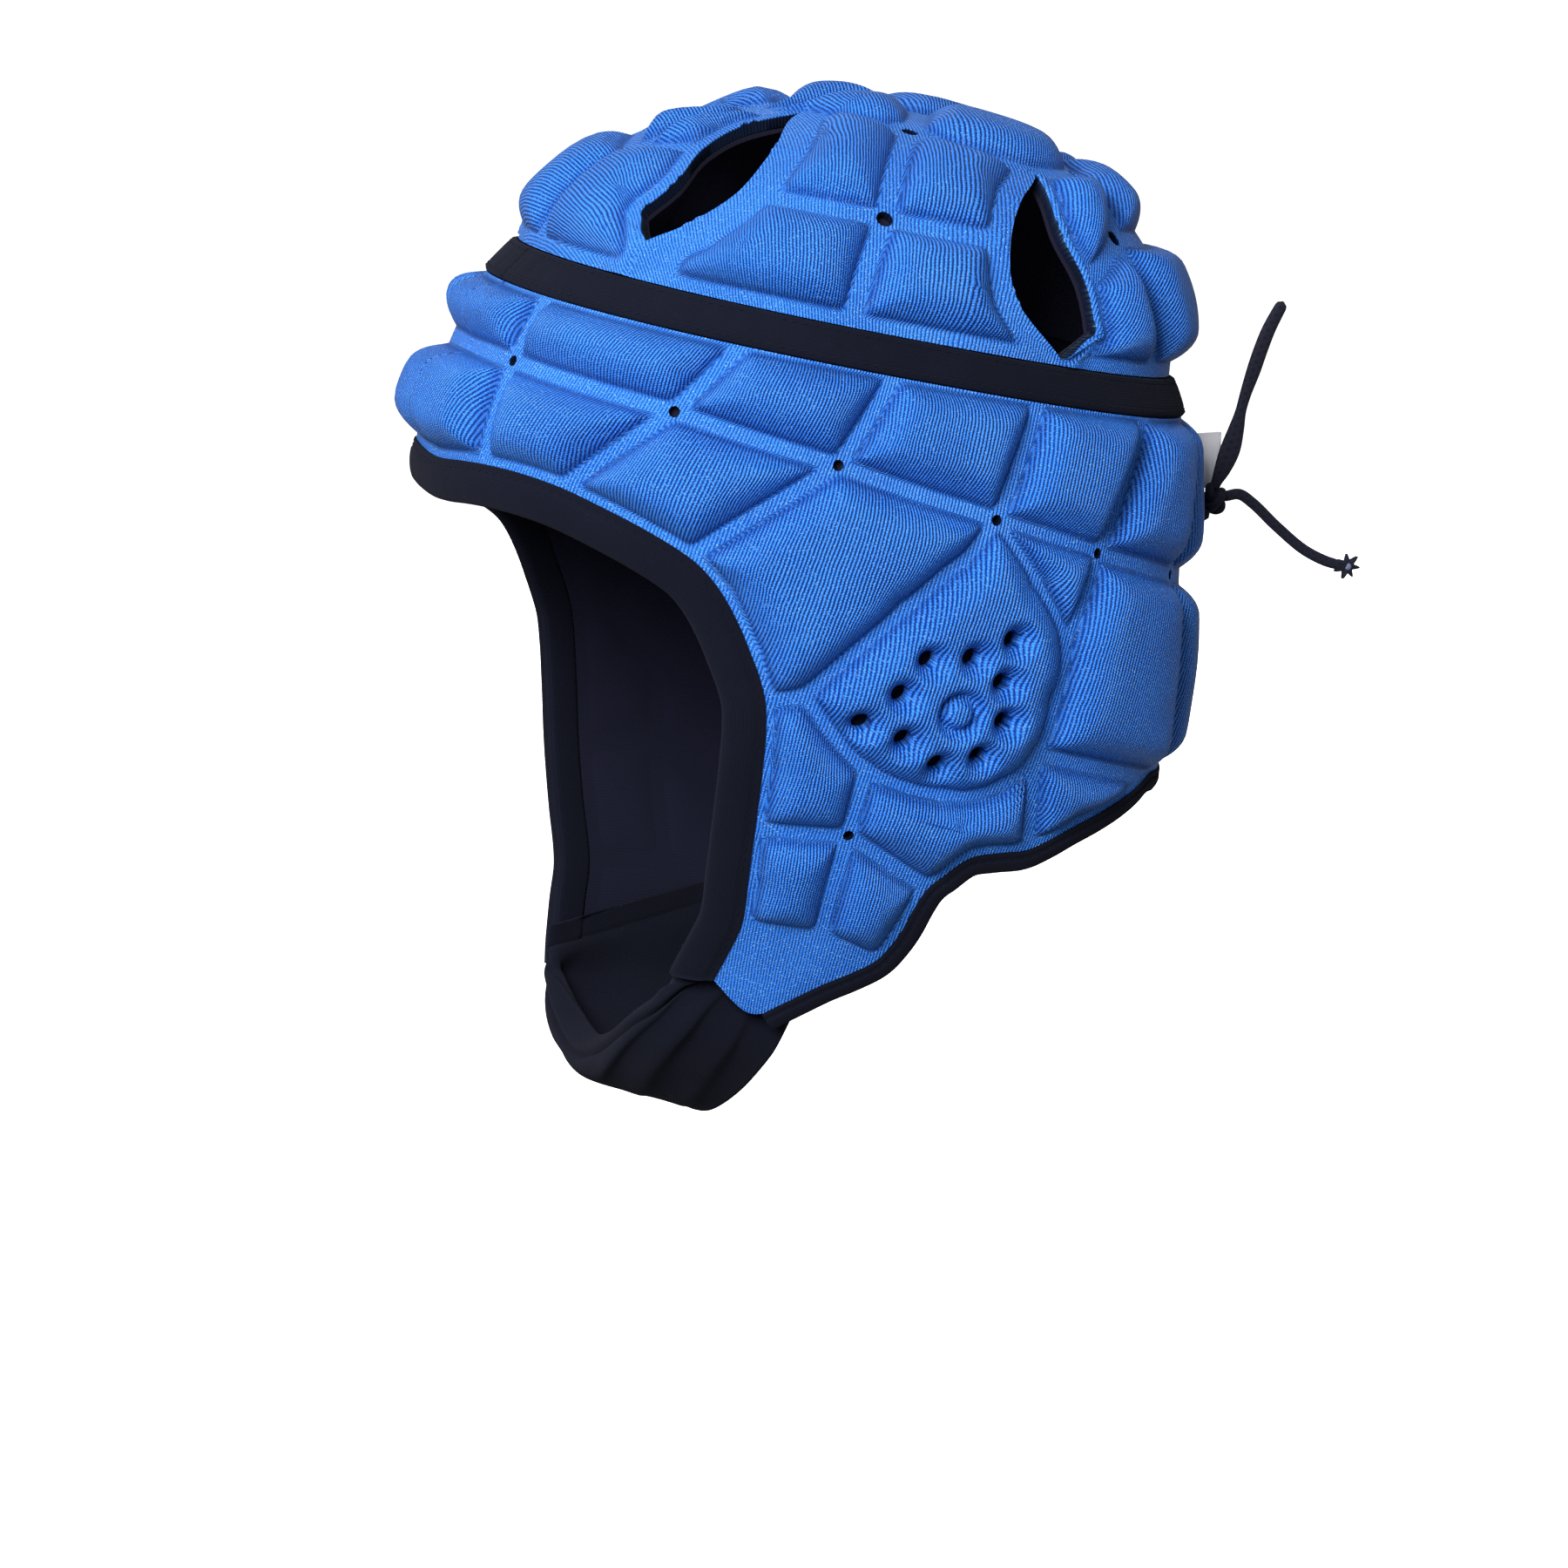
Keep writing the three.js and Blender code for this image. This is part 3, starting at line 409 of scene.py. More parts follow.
class Zone:
    """One part of the head form with the chart, corners and cells that are laid on it."""

    def __init__(self, crown, step, pierced):
        self.crown, self.step = crown, step
        self.form = crown_form if crown else side_form
        self.points = CROWN_POINTS if crown else SIDE_POINTS
        self.holes = (CROWN_HOLES if crown else SIDE_HOLES) if pierced else ()
        self.curves = [c.split() for c in (CROWN_CURVES if crown else SIDE_CURVES)]
        self.hole = CROWN_HOLE if crown else SIDE_HOLE
        self.lines = {}
        half = [(h, loop.split()) for h, loop in (CROWN_CELLS if crown else SIDE_CELLS)]
        loops = [] if crown else [(h, loop.split()) for h, loop in CENTRE_CELLS]
        loops += half + [(h, [self.mirrored(n) for n in names][::-1]) for h, names in half]
        uses = {}
        for _, names in loops:
            for pair in zip(names, names[1:] + names[:1]):
                uses[frozenset(pair)] = uses.get(frozenset(pair), 0) + 1
        self.free = {pair for pair, n in uses.items() if n == 1}
        self.cells = [Cell(self, i, h, names) for i, (h, names) in enumerate(loops)]

    def mirrored(self, name):
        return name if self.points[name][0] in (0, 180) else name + "_r"

    def corner(self, name):
        theta, level = self.points[name.removesuffix("_r")]
        return np.array([-theta if name.endswith("_r") else theta, level], float)

    def plane(self, chart):
        if not self.crown:
            return np.stack([SIDE_SCALE * chart[..., 0], -chart[..., 1]], -1)
        r, a = CROWN_SCALE * (90 - chart[..., 1]), np.radians(chart[..., 0])
        return np.stack([r * np.sin(a), -r * np.cos(a)], -1)

    def chart(self, plane):
        if not self.crown:
            return np.stack([plane[..., 0] / SIDE_SCALE, -plane[..., 1]], -1)
        theta = np.degrees(np.arctan2(plane[..., 0], -plane[..., 1]))
        return np.stack([theta, 90 - np.linalg.norm(plane, axis=-1) / CROWN_SCALE], -1)

    def spot(self, chart):
        return self.form(chart[..., 0], chart[..., 1])

    def normal(self, chart):
        theta, level = chart[..., 0], np.minimum(chart[..., 1], POLE_LIMIT if self.crown else LOW_LIMIT)
        along = self.form(theta + 1, level) - self.form(theta - 1, level)
        rise = self.form(theta, level + 1) - self.form(theta, level - 1)
        return unit(np.cross(along, rise if self.crown else -rise))

    def lifted(self, chart, height):
        return self.spot(chart) + self.normal(chart) * np.asarray(height)[..., None]

    def near(self, chart, steps):
        """Chart points that lie the given steps, in millimetres on the cloth, from one point."""
        theta, level = chart
        d = 0.5
        tilt = np.stack([self.form(theta + d, level) - self.form(theta - d, level),
                         self.form(theta, level + d) - self.form(theta, level - d)], -1)
        return np.asarray(chart) + steps @ np.linalg.pinv(tilt).T

    def full_line(self, a, b):
        """Chart line from corner to corner, curved where the cut is a curve."""
        ends = {n: self.corner(n) for n in (a, b)}
        for n, other in ((a, b), (b, a)):
            if n == "pole":
                ends[n] = np.array([ends[other][0], 90.0])
        first, last = ends[a], ends[b]
        turn = last[0] - first[0]
        if abs(turn) > 180:
            last[0] -= 360 * np.sign(turn)
        controls, pick = [first, last], 0
        for curve in self.curves:
            for i, pair in enumerate(zip(curve, curve[1:])):
                if pair == (a, b):
                    span = curve[max(i - 1, 0):i + 3]
                    controls, pick = [self.corner(n) for n in span], min(i, 1)
        return flowing(np.array(controls) * EVEN)[pick * FINE:(pick + 1) * FINE + 1] / EVEN

    def line(self, a, b):
        """Points and keys along an edge, the same for both cells that share it."""
        if (a, b) in self.lines:
            return self.lines[a, b]
        bare = bare_names((a, b))
        flipped = a.endswith("_r") or b.endswith("_r")
        if flipped and bare[0] != bare[1]:
            chart, keys = self.line(*bare)
            chart = chart * [-1, 1]
            keys = [k if isinstance(k, str) and self.mirrored(k) == k else ("r", k) for k in keys]
        else:
            curved = [pair for c in self.curves for pair in zip(c, c[1:])]
            if (b, a) in curved or (a > b and (a, b) not in curved):
                chart, keys = self.line(b, a)
                self.lines[a, b] = chart[::-1], keys[::-1]
                return self.lines[a, b]
            chart = self.full_line(a, b)
            run = run_of(self.spot(chart))
            start = self.hole if bare[0] in self.holes else 0
            stop = run[-1] - (self.hole if bare[1] in self.holes else 0)
            count = max(2, round((stop - start) / self.step))
            chart = sampled(chart, run, np.linspace(start, stop, count + 1))
            keys = [(a, b, i) for i in range(count + 1)]
            for end, name, i in ((start, a, 0), (run[-1] - stop, b, count)):
                if not end:
                    keys[i] = name if not name.endswith("_r") else ("r", name[:-2])
        self.lines[a, b] = chart, keys
        return self.lines[a, b]


def loop_areas(plane):
    """Twice the area under each step of a closed loop of the plane."""
    ahead = np.roll(plane, -1, axis=0)
    return plane[:, 0] * ahead[:, 1] - ahead[:, 0] * plane[:, 1]


class Cell:
    """One foam cell: its rim in order, its centre, and the edges that its pad keeps clear of."""

    def __init__(self, zone, index, height, names):
        self.zone, self.index, self.height, self.names = zone, index, height, names
        self.bare = bare = bare_names(names)
        self.ear = set(bare) == set(EAR_LOOP.split())
        rim, keys = [], []
        self.walls = []
        for i, name in enumerate(names):
            nxt = names[(i + 1) % len(names)]
            chart, marks = zone.line(name, nxt)
            before = zone.line(names[i - 1], name)[0][-1]
            if bare[i] in zone.holes:
                arc = self.hole_arc(zone.corner(name), before, chart[0])
                rim += list(arc)
                keys += [(index, name, k) for k in range(len(arc))]
            keep = len(chart) if bare[(i + 1) % len(names)] in zone.holes else len(chart) - 1
            rim += list(chart[:keep])
            keys += marks[:keep]
            self.walls.append(self.wall(name, nxt, bare[i], bare[(i + 1) % len(names)]))
        rim = np.array(rim)
        if loop_areas(zone.plane(rim)).sum() < 0:
            rim, keys = rim[::-1], keys[::-1]
        self.rim, self.rim_plane, self.keys = rim, zone.plane(rim), keys
        cross = loop_areas(self.rim_plane)
        ahead = np.roll(self.rim_plane, -1, axis=0)
        self.centre = ((self.rim_plane + ahead) * cross[:, None]).sum(0) / (3 * cross.sum())

    def hole_arc(self, corner, before, after):
        """Points round the inside of a vent hole, from one groove to the next."""
        zone = self.zone
        here, normal = zone.spot(corner), zone.normal(corner)
        a, b = (unit(zone.spot(p) - here) for p in (before, after))
        turn = math.atan2(np.dot(np.cross(a, b), normal), np.dot(a, b))
        corners = np.array([zone.corner(n) for n in self.names if n != "pole"])
        inside = zone.spot(zone.chart(zone.plane(corners).mean(0))) - here
        middle = a * math.cos(turn / 2) + np.cross(normal, a) * math.sin(turn / 2)
        if np.dot(middle, inside) < 0:
            turn -= 2 * math.pi * np.sign(turn)
        t = np.linspace(0, turn, max(3, round(abs(turn) / 0.28)) + 1)[1:-1, None]
        steps = (a * np.cos(t) + np.cross(normal, a) * np.sin(t)) * zone.hole
        return zone.near(corner, steps)

    def wall(self, a, b, bare_a, bare_b):
        """An edge of the cell as a line on the form, with the flat margin beside it."""
        zone = self.zone
        line = zone.full_line(a, b) if a < b else zone.full_line(b, a)
        if (a, b) in zone.lines:
            chart = zone.lines[a, b][0]
            line = np.vstack([zone.corner(a), chart, zone.corner(b)]) if "pole" not in (a, b) else line
        free = frozenset((a, b)) in zone.free
        band = not zone.crown and bare_a.startswith("top") and bare_b.startswith("top")
        hem = free and zone.crown and "Band" not in bare_a + bare_b
        margin = CROWN_MARGIN if zone.crown else SIDE_MARGIN
        if free:
            margin = BAND_MARGIN if band else EDGE_MARGIN
        elif "earTri" in self.bare:
            margin = EAR_MARGIN
        for edge, flat in VENT_MARGINS.items():
            if hem and edge in bare_a + bare_b:
                margin = flat
        lap = 0
        for first, c, d, under in LAPS:
            if {bare_a, bare_b} == {c, d}:
                lap = 1 if first in self.bare else -1
                margin = LAP_MARGIN if lap > 0 else under
        return zone.spot(spaced(line * EVEN, 3.5) / EVEN), margin, hem, lap

    def clear(self, chart, pads):
        """How far points lie inside the foot of the pad, with its corners rounded, and their hems."""
        spots = self.zone.spot(chart)
        total, hem = 0, 0

        def crowding(near, margin):
            return np.maximum(near - margin + pads.corner, 0.15) ** -6

        for line, margin, hemmed, lap in self.walls:
            near = distance(spots, line)
            total = total + crowding(near, margin)
            if hemmed:
                hem = hem + HEM_HEIGHT * np.exp(-(near - HEM_PLACE) ** 2)
            if lap > 0:
                lip = np.clip(near / LAP_LIP, 0, 1) ** 0.6
                hem = np.maximum(hem, LAP_HEIGHT * lip * np.clip((LAP_REACH - near) / LAP_SLOPE, 0, 1))
        for name, bare in zip(self.names, self.bare):
            if bare == TOP_HOLE:
                near = np.linalg.norm(spots - self.zone.spot(self.zone.corner(name)), axis=-1)
                total = total + crowding(near, TOP_HOLE_CLEAR)
        return total ** (-1 / 6) - pads.corner, hem + 0 * spots[..., 0]


def distance(spots, line):
    """Distance of each spot to the nearest piece of a line."""
    best = np.full(spots.shape[:-1], np.inf)
    for a, b in zip(line, line[1:]):
        d = b - a
        t = np.clip(((spots - a) @ d) / max(d @ d, 1e-9), 0, 1)
        best = np.minimum(best, ((spots - a - t[..., None] * d) ** 2).sum(-1))
    return np.sqrt(best)


def pitched(points):
    a = math.radians(-BAND_PITCH)
    x, y, z = np.moveaxis(np.asarray(points, float), -1, 0)
    return np.stack([x, y * math.cos(a) - z * math.sin(a), y * math.sin(a) + z * math.cos(a)], -1)


CROWN_SHAPE = Zone(True, PLAIN_STEP, False)
SIDE_SHAPE = Zone(False, PLAIN_STEP, False)
RISES = np.stack([np.zeros(51), np.arange(40, 91)], -1)
TOPS = pitched(CROWN_SHAPE.lifted(RISES, np.full(51, LINING_IN)))
SEAT = TOPS[np.argmax(TOPS[:, 2])]


# The far side hangs lower: millimetres of fall between two drops below the band. Its jaw lies farther back.
FAR_HANG = ((5, 10, 50), (7, 90, 170))
FAR_BACK = 6


def placed(points):
    """From the form's millimetres, square to the band, to the cap as it hangs with its seat at the origin."""
    p = np.array(points, float)
    drop = -p[..., 2]
    loose = eased(-p[..., 0], 5, 55) * (1 - eased(p[..., 1], 35, 75))
    p[..., 2] -= sum(fall * eased(drop, low, high) for fall, low, high in FAR_HANG) * loose
    p[..., 1] += FAR_BACK * eased(p[..., 1], -25, 5) * eased(drop, 120, 175) * loose
    return pitched(p) - SEAT


def rear_spot(theta, drop, height):
    return placed(SIDE_SHAPE.lifted(np.array([theta, drop], float), height))


def linked(name, data):
    """A new object in the scene."""
    made = bpy.data.objects.new(name, data)
    bpy.context.scene.collection.objects.link(made)
    return made


class Sewn:
    """Points, weave and faces of one piece while it is put together, in millimetres."""

    def __init__(self):
        self.points, self.weave, self.faces, self.known = [], [], [], {}

    def lay(self, points, weave, keys=None):
        """Adds points and gives their numbers; a key that is already there keeps its number."""
        numbers = []
        for i, p in enumerate(points):
            key = None if keys is None else keys[i]
            if key is not None and key in self.known:
                numbers.append(self.known[key])
                continue
            if key is not None:
                self.known[key] = len(self.points)
            numbers.append(len(self.points))
            self.points.append(p)
            self.weave.append(weave[i])
        return numbers

    def face(self, corners, flip):
        self.faces.append(corners[::-1] if flip else corners)

    def join(self, a, b, flip=False):
        """A ring of faces between two rings of points."""
        for i in range(len(a)):
            j = (i + 1) % len(a)
            self.face((a[i], a[j], b[j], b[i]), flip)

    def skin(self, rows, closed=False, flip=False):
        """Faces between each ring of points and the next."""
        for low, high in zip(rows, rows[1:] + rows[:1] * closed):
            self.join(low, high, flip)

    def cap(self, row, tip, weave=(0, 0, 0), flip=False):
        """Faces from a ring of points to one more point, its tip."""
        tip = self.lay([tip], [weave])[0]
        for i, a in enumerate(row):
            self.face((a, row[(i + 1) % len(row)], tip), flip)

    def plug(self, row, flip):
        """A cap with its tip in the middle of the ring."""
        self.cap(row, np.mean([self.points[k] for k in row], axis=0), flip=flip)

    def piece(self, name, finish, slot, *nodes, sharp=80):
        """The finished object: it rides with the cap and stands for its nodes of the frame."""
        mesh = bpy.data.meshes.new(name)
        mesh.from_pydata((np.array(self.points) * 0.001).tolist(), [], self.faces)
        weave = mesh.attributes.new("weave", "FLOAT_VECTOR", "POINT")
        weave.data.foreach_set("vector", np.array(self.weave, np.float32).ravel())
        mesh.polygons.foreach_set("use_smooth", np.ones(len(mesh.polygons), bool))
        mesh.update()
        mesh.set_sharp_from_angle(angle=math.radians(sharp))
        if mesh.validate(clean_customdata=False):
            raise RuntimeError(f"{name} has faces that don't hold together")
        mesh.materials.append(finish)
        made = linked(name, mesh)
        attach(made, "root")
        if nodes:
            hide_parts(*nodes)
        return made


def tube(sewn, line, wide, thick, half_wide, half_thick, sides):
    """A cord along a line: its section is an oval on two directions, closed and rounded at both ends."""
    count = len(line)
    run = run_of(line)
    half_wide = np.broadcast_to(half_wide, count).copy()
    half_thick = np.broadcast_to(half_thick, count).copy()
    ends = np.minimum(run, run[-1] - run)
    for half in (half_wide, half_thick):
        t = np.clip(ends / np.maximum(half, 0.1), 0, 1)
        half *= np.maximum(np.sqrt(1 - (1 - t) ** 2), 0.12)
    a = turns(sides)
    rows = []
    for i in range(count):
        ring = (line[i] + np.outer(np.cos(a), wide[i]) * half_wide[i]
                + np.outer(np.sin(a), thick[i]) * half_thick[i])
        weave = np.stack([np.full(sides, run[i]), a / (2 * np.pi) * 10, np.zeros(sides)], -1)
        rows.append(sewn.lay(ring, weave))
    sewn.skin(rows, flip=True)
    for i, flip in ((0, False), (-1, True)):
        sewn.cap(rows[i], line[i], (run[i], 0, 0), flip)


def carried(line, start):
    """Two directions square to a line that turn as little as they can along it."""
    along = unit(np.gradient(line, axis=0))
    wide = [unit(start - along[0] * (start @ along[0]))]
    for t in along[1:]:
        wide.append(unit(wide[-1] - t * (wide[-1] @ t)))
    wide = np.array(wide)
    return wide, np.cross(along, wide)


def uneven(points, size):
    """Slow, even unevenness of soft cloth."""
    x, y, z = np.moveaxis(np.asarray(points), -1, 0) / 10
    return size * (np.sin(1.7 * x + 0.9 * y + 0.4) * np.sin(1.1 * y - 1.5 * z + 1.2)
                   + 0.6 * np.sin(2.9 * z + 1.3 * x + 2.1) * np.sin(2.3 * y + 0.7))


# Weave: millimetres across the ribs, millimetres along them, and millimetres in from the foot of the pad.
ARC_AT = np.arange(-182, 183, 0.5)
ARC = run_of(side_form(ARC_AT, 60))
RIB_LEAN = 0.3
RIB_SPREAD = 0.4
# Depth that is given to cut edges and to the back of the shell: far out, so that cut walls take the painted
# shade of holes and vents at once. The pressed holes of the ear panel stay blue on the way in.
CUT_EDGE, CUT_BACK, EAR_BACK = -14.0, -60.0, -12.0
MERIDIAN_STEP = 1.5
MERIDIAN = np.arange(0, 91, MERIDIAN_STEP)


def knit_lay(zone, chart):
    """Where the ribs of the knit run: left to right over the crown, and up and down on the side shell."""
    theta, level = chart[..., 0], chart[..., 1]
    if not zone.crown:
        across = np.interp(np.abs(theta), ARC_AT, ARC - np.interp(0, ARC_AT, ARC))
        return across + RIB_LEAN * level, level
    shape = theta.shape
    flat = theta.ravel()
    lines = crown_form(flat[:, None], 90 - MERIDIAN[None, :])
    run = np.concatenate([np.zeros((len(flat), 1)),
                          np.cumsum(np.linalg.norm(np.diff(lines, axis=1), axis=2), axis=1)], 1)
    place = np.clip((90 - level.ravel()) / MERIDIAN_STEP, 0, len(MERIDIAN) - 1.001)
    i = place.astype(int)
    k = np.arange(len(flat))
    r = run[k, i] + (run[k, i + 1] - run[k, i]) * (place - i)
    a = np.radians(flat)
    return (-r * np.cos(a)).reshape(shape), (r * np.sin(a)).reshape(shape)


def weave_of(zone, chart, depth):
    across, along = knit_lay(zone, chart)
    return np.stack([across, along, np.broadcast_to(depth, across.shape)], -1)


# Rings of a cell: shares of the flat margin, depths inside the foot of the pad, shares of the rest.
FLATS = (0.78, 0.52, 0.28, 0.06)
DEPTHS = (0.2, 0.6, 1.2, 2.1, 3.2, 4.5, 5.9, 7.4, 9, 11)
INNERS = (0.8, 0.58, 0.36, 0.16)
# Height of a pad: the share of its wall and of the slow dome inside. Way in which the lining swells.
WALL_SHARE = 0.88
DOME_SHARE = 0.18
LINING_SWELL = 8


def cell_rows(cell, pads):
    """Chart rows of a cell from its rim to near its centre, close together at the foot of the pad."""
    zone = cell.zone
    along = np.linspace(1, 0, 41)
    rays = cell.centre + along[None, :, None] * (cell.rim_plane - cell.centre)[:, None, :]
    depth, _ = cell.clear(zone.chart(rays), pads)
    deepest = depth[:, -1].max()
    scale = min(1, 0.75 * deepest / DEPTHS[-1])
    targets = [depth[:, 0] * f for f in FLATS] + [np.full(len(rays), d * scale) for d in DEPTHS]
    rows, last = [], np.ones(len(rays))
    for target in targets:
        reached = depth >= target[:, None]
        j = np.maximum(np.argmax(reached, axis=1), 1)
        k = np.arange(len(rays))
        low, high = depth[k, j - 1], depth[k, j]
        t = np.clip((target - low) / np.maximum(high - low, 1e-6), 0, 1)
        f = along[j - 1] + (along[j] - along[j - 1]) * t
        f = np.where(reached.any(axis=1), f, 0.2)
        last = np.minimum(f, last - 0.006)
        rows.append(last)
    rows += [last * f for f in INNERS]
    return [zone.chart(cell.centre + f[:, None] * (cell.rim_plane - cell.centre)) for f in rows]


def pad_height(cell, depth, hem, pads):
    wall = np.clip(depth / pads.wall, 0, 1)
    dome = np.clip(depth / pads.dome, 0, 1)
    raised = cell.height * (WALL_SHARE * (1 - (1 - wall) ** 2.0) + DOME_SHARE * (1 - (1 - dome) ** 2))
    return np.maximum(raised, 0) + hem * np.clip(1 - depth / 3, 0, 1)


def ear_height(zone, chart, depth, mirror):
    """Low pad of the ear panel with a dimple round each hole and a ringed boss between them."""
    spots = zone.spot(chart)
    raised = EAR_PAD * (1 - (1 - np.clip(depth / EAR_WALL, 0, 1)) ** 1.7)
    for (theta, drop), bumps in [(hole, HOLE_BUMPS) for hole in EAR_HOLES] + [(EAR_BOSS, BOSS_BUMPS)]:
        r = np.linalg.norm(spots - side_form(theta * mirror, drop), axis=-1)
        for height, place, width in bumps:
            raised = raised + height * np.exp(-((r - place) / width) ** 2)
    return np.maximum(raised, EAR_LOW) * np.clip(depth / 1.2, 0, 1)


def sew_cell(sewn, cell, pads, outer, inner, lining):
    """One cell: a detailed face, a plain face behind it and, on the way, its shared rim."""
    zone = cell.zone
    laid = np.stack(knit_lay(zone, cell.rim), -1)
    middle_weave, reach = (laid.max(0) + laid.min(0)) / 2, (laid.max(0) - laid.min(0)) / 2

    def face(chart):
        depth, hem = cell.clear(chart, pads)
        if lining:
            lift = -pads.quilt * (1 - (1 - np.clip(depth / LINING_SWELL, 0, 1)) ** 2)
        else:
            lift = pad_height(cell, depth, hem, pads)
        spots = zone.spot(chart)
        lift = lift + uneven(spots, pads.uneven) * np.clip(depth / 5, 0, 1)
        place = np.clip(1 - depth / LINING_SWELL, 0, 1) if lining else depth if cell.height else -2 + 0 * depth
        weave = weave_of(zone, chart, place)
        if not lining:
            share = np.clip(depth / pads.wall, 0, 1) - np.clip(depth / 0.6, -1, 0)
            out = unit((weave[..., :2] - middle_weave) / reach ** 2)
            weave[..., :2] += out * (RIB_SPREAD * cell.height * (1 - share))[..., None]
        return placed(zone.lifted(chart, (inner if lining else outer) + lift)), weave

    rim_spots, rim_weave = face(cell.rim)
    if not lining:
        rim_weave[:, 2] = CUT_EDGE
    front = sewn.lay(rim_spots, rim_weave, [("front", k) for k in cell.keys])
    back_at = outer if lining else inner
    back_spots = placed(zone.lifted(cell.rim, np.full(len(cell.rim), back_at)))
    back = sewn.lay(back_spots, weave_of(zone, cell.rim, CUT_BACK), [("back", k) for k in cell.keys])
    middle = zone.chart(cell.centre)
    if cell.ear and not lining:
        sew_ear(sewn, cell, pads, front, back, outer, inner)
    else:
        rows = [front] + [sewn.lay(*face(chart)) for chart in cell_rows(cell, pads)]
        sewn.skin(rows, flip=lining)
        spot, weave = face(middle[None, :])
        sewn.cap(rows[-1], spot[0], weave[0], lining)
        sewn.cap(back, placed(zone.lifted(middle, back_at)), weave_of(zone, middle, CUT_BACK), not lining)
    return list(zip(cell.keys, front, back))


def sew_ear(sewn, cell, pads, front, back, outer, inner):
    """The ear panel, with its ten round holes cut through."""
    zone = cell.zone
    mirror = 1 if cell.rim[:, 0].mean() > 0 else -1
    sites = list(cell.rim * EAR_EVEN)
    loops = [list(range(len(sites)))]
    a = turns(EAR_SIDES)
    centres = []
    for theta, drop in EAR_HOLES:
        spot = np.array([theta * mirror, drop], float)
        n = zone.normal(spot)
        side = unit(np.cross([0, 0, 1.0], n))
        up = np.cross(n, side)
        centres.append(spot * EAR_EVEN)
        for wider, cut in EAR_RINGS:
            steps = (np.outer(np.cos(a), side) + np.outer(np.sin(a), up)) * (EAR_HOLE + wider)
            ring = zone.near(spot, steps) * EAR_EVEN
            if cut:
                loops.append(list(range(len(sites), len(sites) + len(ring))))
            sites += list(ring)
    sites = np.array(sites)
    low, high = sites[:len(front)].min(0), sites[:len(front)].max(0)
    grid = np.array([(x + (row % 2) * EAR_PITCH / 2, y)
                     for row, y in enumerate(np.arange(low[1], high[1], EAR_PITCH * 0.866))
                     for x in np.arange(low[0], high[0], EAR_PITCH)])
    depth, _ = cell.clear(grid / EAR_EVEN, pads)
    keep = inside(grid, sites[:len(front)]) & (depth > -EAR_RIM_CLEAR)
    for centre in centres:
        keep &= np.linalg.norm(grid - centre, axis=1) > EAR_HOLE + EAR_HOLE_CLEAR
    near = np.array([np.min(((sites - p) ** 2).sum(1)) for p in grid[keep]])
    sites = np.vstack([sites, grid[keep][near > EAR_POINT_CLEAR]])
    bounds = [(i, j) for loop in loops for i, j in zip(loop, loop[1:] + loop[:1])]
    found = delaunay_2d_cdt([Vector(p) for p in sites], bounds, [], 0, 1e-6)
    if len(found[0]) != len(sites):
        raise RuntimeError("the holes of the ear panel run into each other")
    chart = np.array([tuple(v) for v in found[0]]) / EAR_EVEN
    depth, _ = cell.clear(chart, pads)
    lift = ear_height(zone, chart, depth, mirror)
    tops = placed(zone.lifted(chart, outer + lift))
    unders = placed(zone.lifted(chart, np.full(len(chart), inner)))
    weave = weave_of(zone, chart, depth)
    hidden = weave_of(zone, chart, EAR_BACK)
    came = [old[0] for old in found[3]]

    def numbers(rim, spots, laid):
        """Points of the rim keep their numbers, and the others get new ones."""
        return [rim[o] if o < len(rim) else sewn.lay([spots[i]], [laid[i]])[0] for i, o in enumerate(came)]

    top, under = numbers(front, tops, weave), numbers(back, unders, hidden)
    places = {o: i for i, o in enumerate(came)}
    tris = np.array(found[2])
    middles = (chart * EAR_EVEN)[tris].mean(1)
    cloth = inside(middles, sites[loops[0]])
    for loop in loops[1:]:
        cloth &= ~inside(middles, sites[loop])
    sheet = zone.plane(chart)[tris[cloth]]
    one, two = sheet[:, 1] - sheet[:, 0], sheet[:, 2] - sheet[:, 0]
    turn = one[:, 0] * two[:, 1] - one[:, 1] * two[:, 0]
    for tri, way in zip(tris[cloth].tolist(), turn):
        tri = tri if way > 0 else tri[::-1]
        sewn.faces.append(tuple(top[i] for i in tri))
        sewn.faces.append(tuple(under[i] for i in tri[::-1]))
    for loop in loops[1:]:
        ring = [places[o] for o in loop]
        turn = loop_areas(zone.plane(chart[ring])).sum()
        sewn.join([top[i] for i in ring], [under[i] for i in ring], flip=turn < 0)


def inside(points, loop):
    """Which points lie inside a closed loop of the plane."""
    hit = np.zeros(len(points), bool)
    x, y = points[:, 0], points[:, 1]
    for (ax, ay), (bx, by) in zip(loop, np.roll(loop, -1, axis=0)):
        crosses = (ay > y) != (by > y)
        if crosses.any():
            at = (bx - ax) * (y - ay) / ((by - ay) or 1e-12) + ax
            hit ^= crosses & (x < at)
    return hit


def sew_zone(zone, pads, outer, inner, lining=False):
    """All cells of a zone, with a wall along each edge that only one cell has."""
    sewn = Sewn()
    rims = {}
    for cell in zone.cells:
        rim = sew_cell(sewn, cell, pads, outer, inner, lining)
        for p, q in zip(rim, rim[1:] + rim[:1]):
            pair = frozenset((p[0], q[0]))
            if pair in rims:
                del rims[pair]
            else:
                rims[pair] = (p, q)
    for p, q in rims.values():
        sewn.face((q[1], p[1], p[2], q[2]), lining)
    return sewn


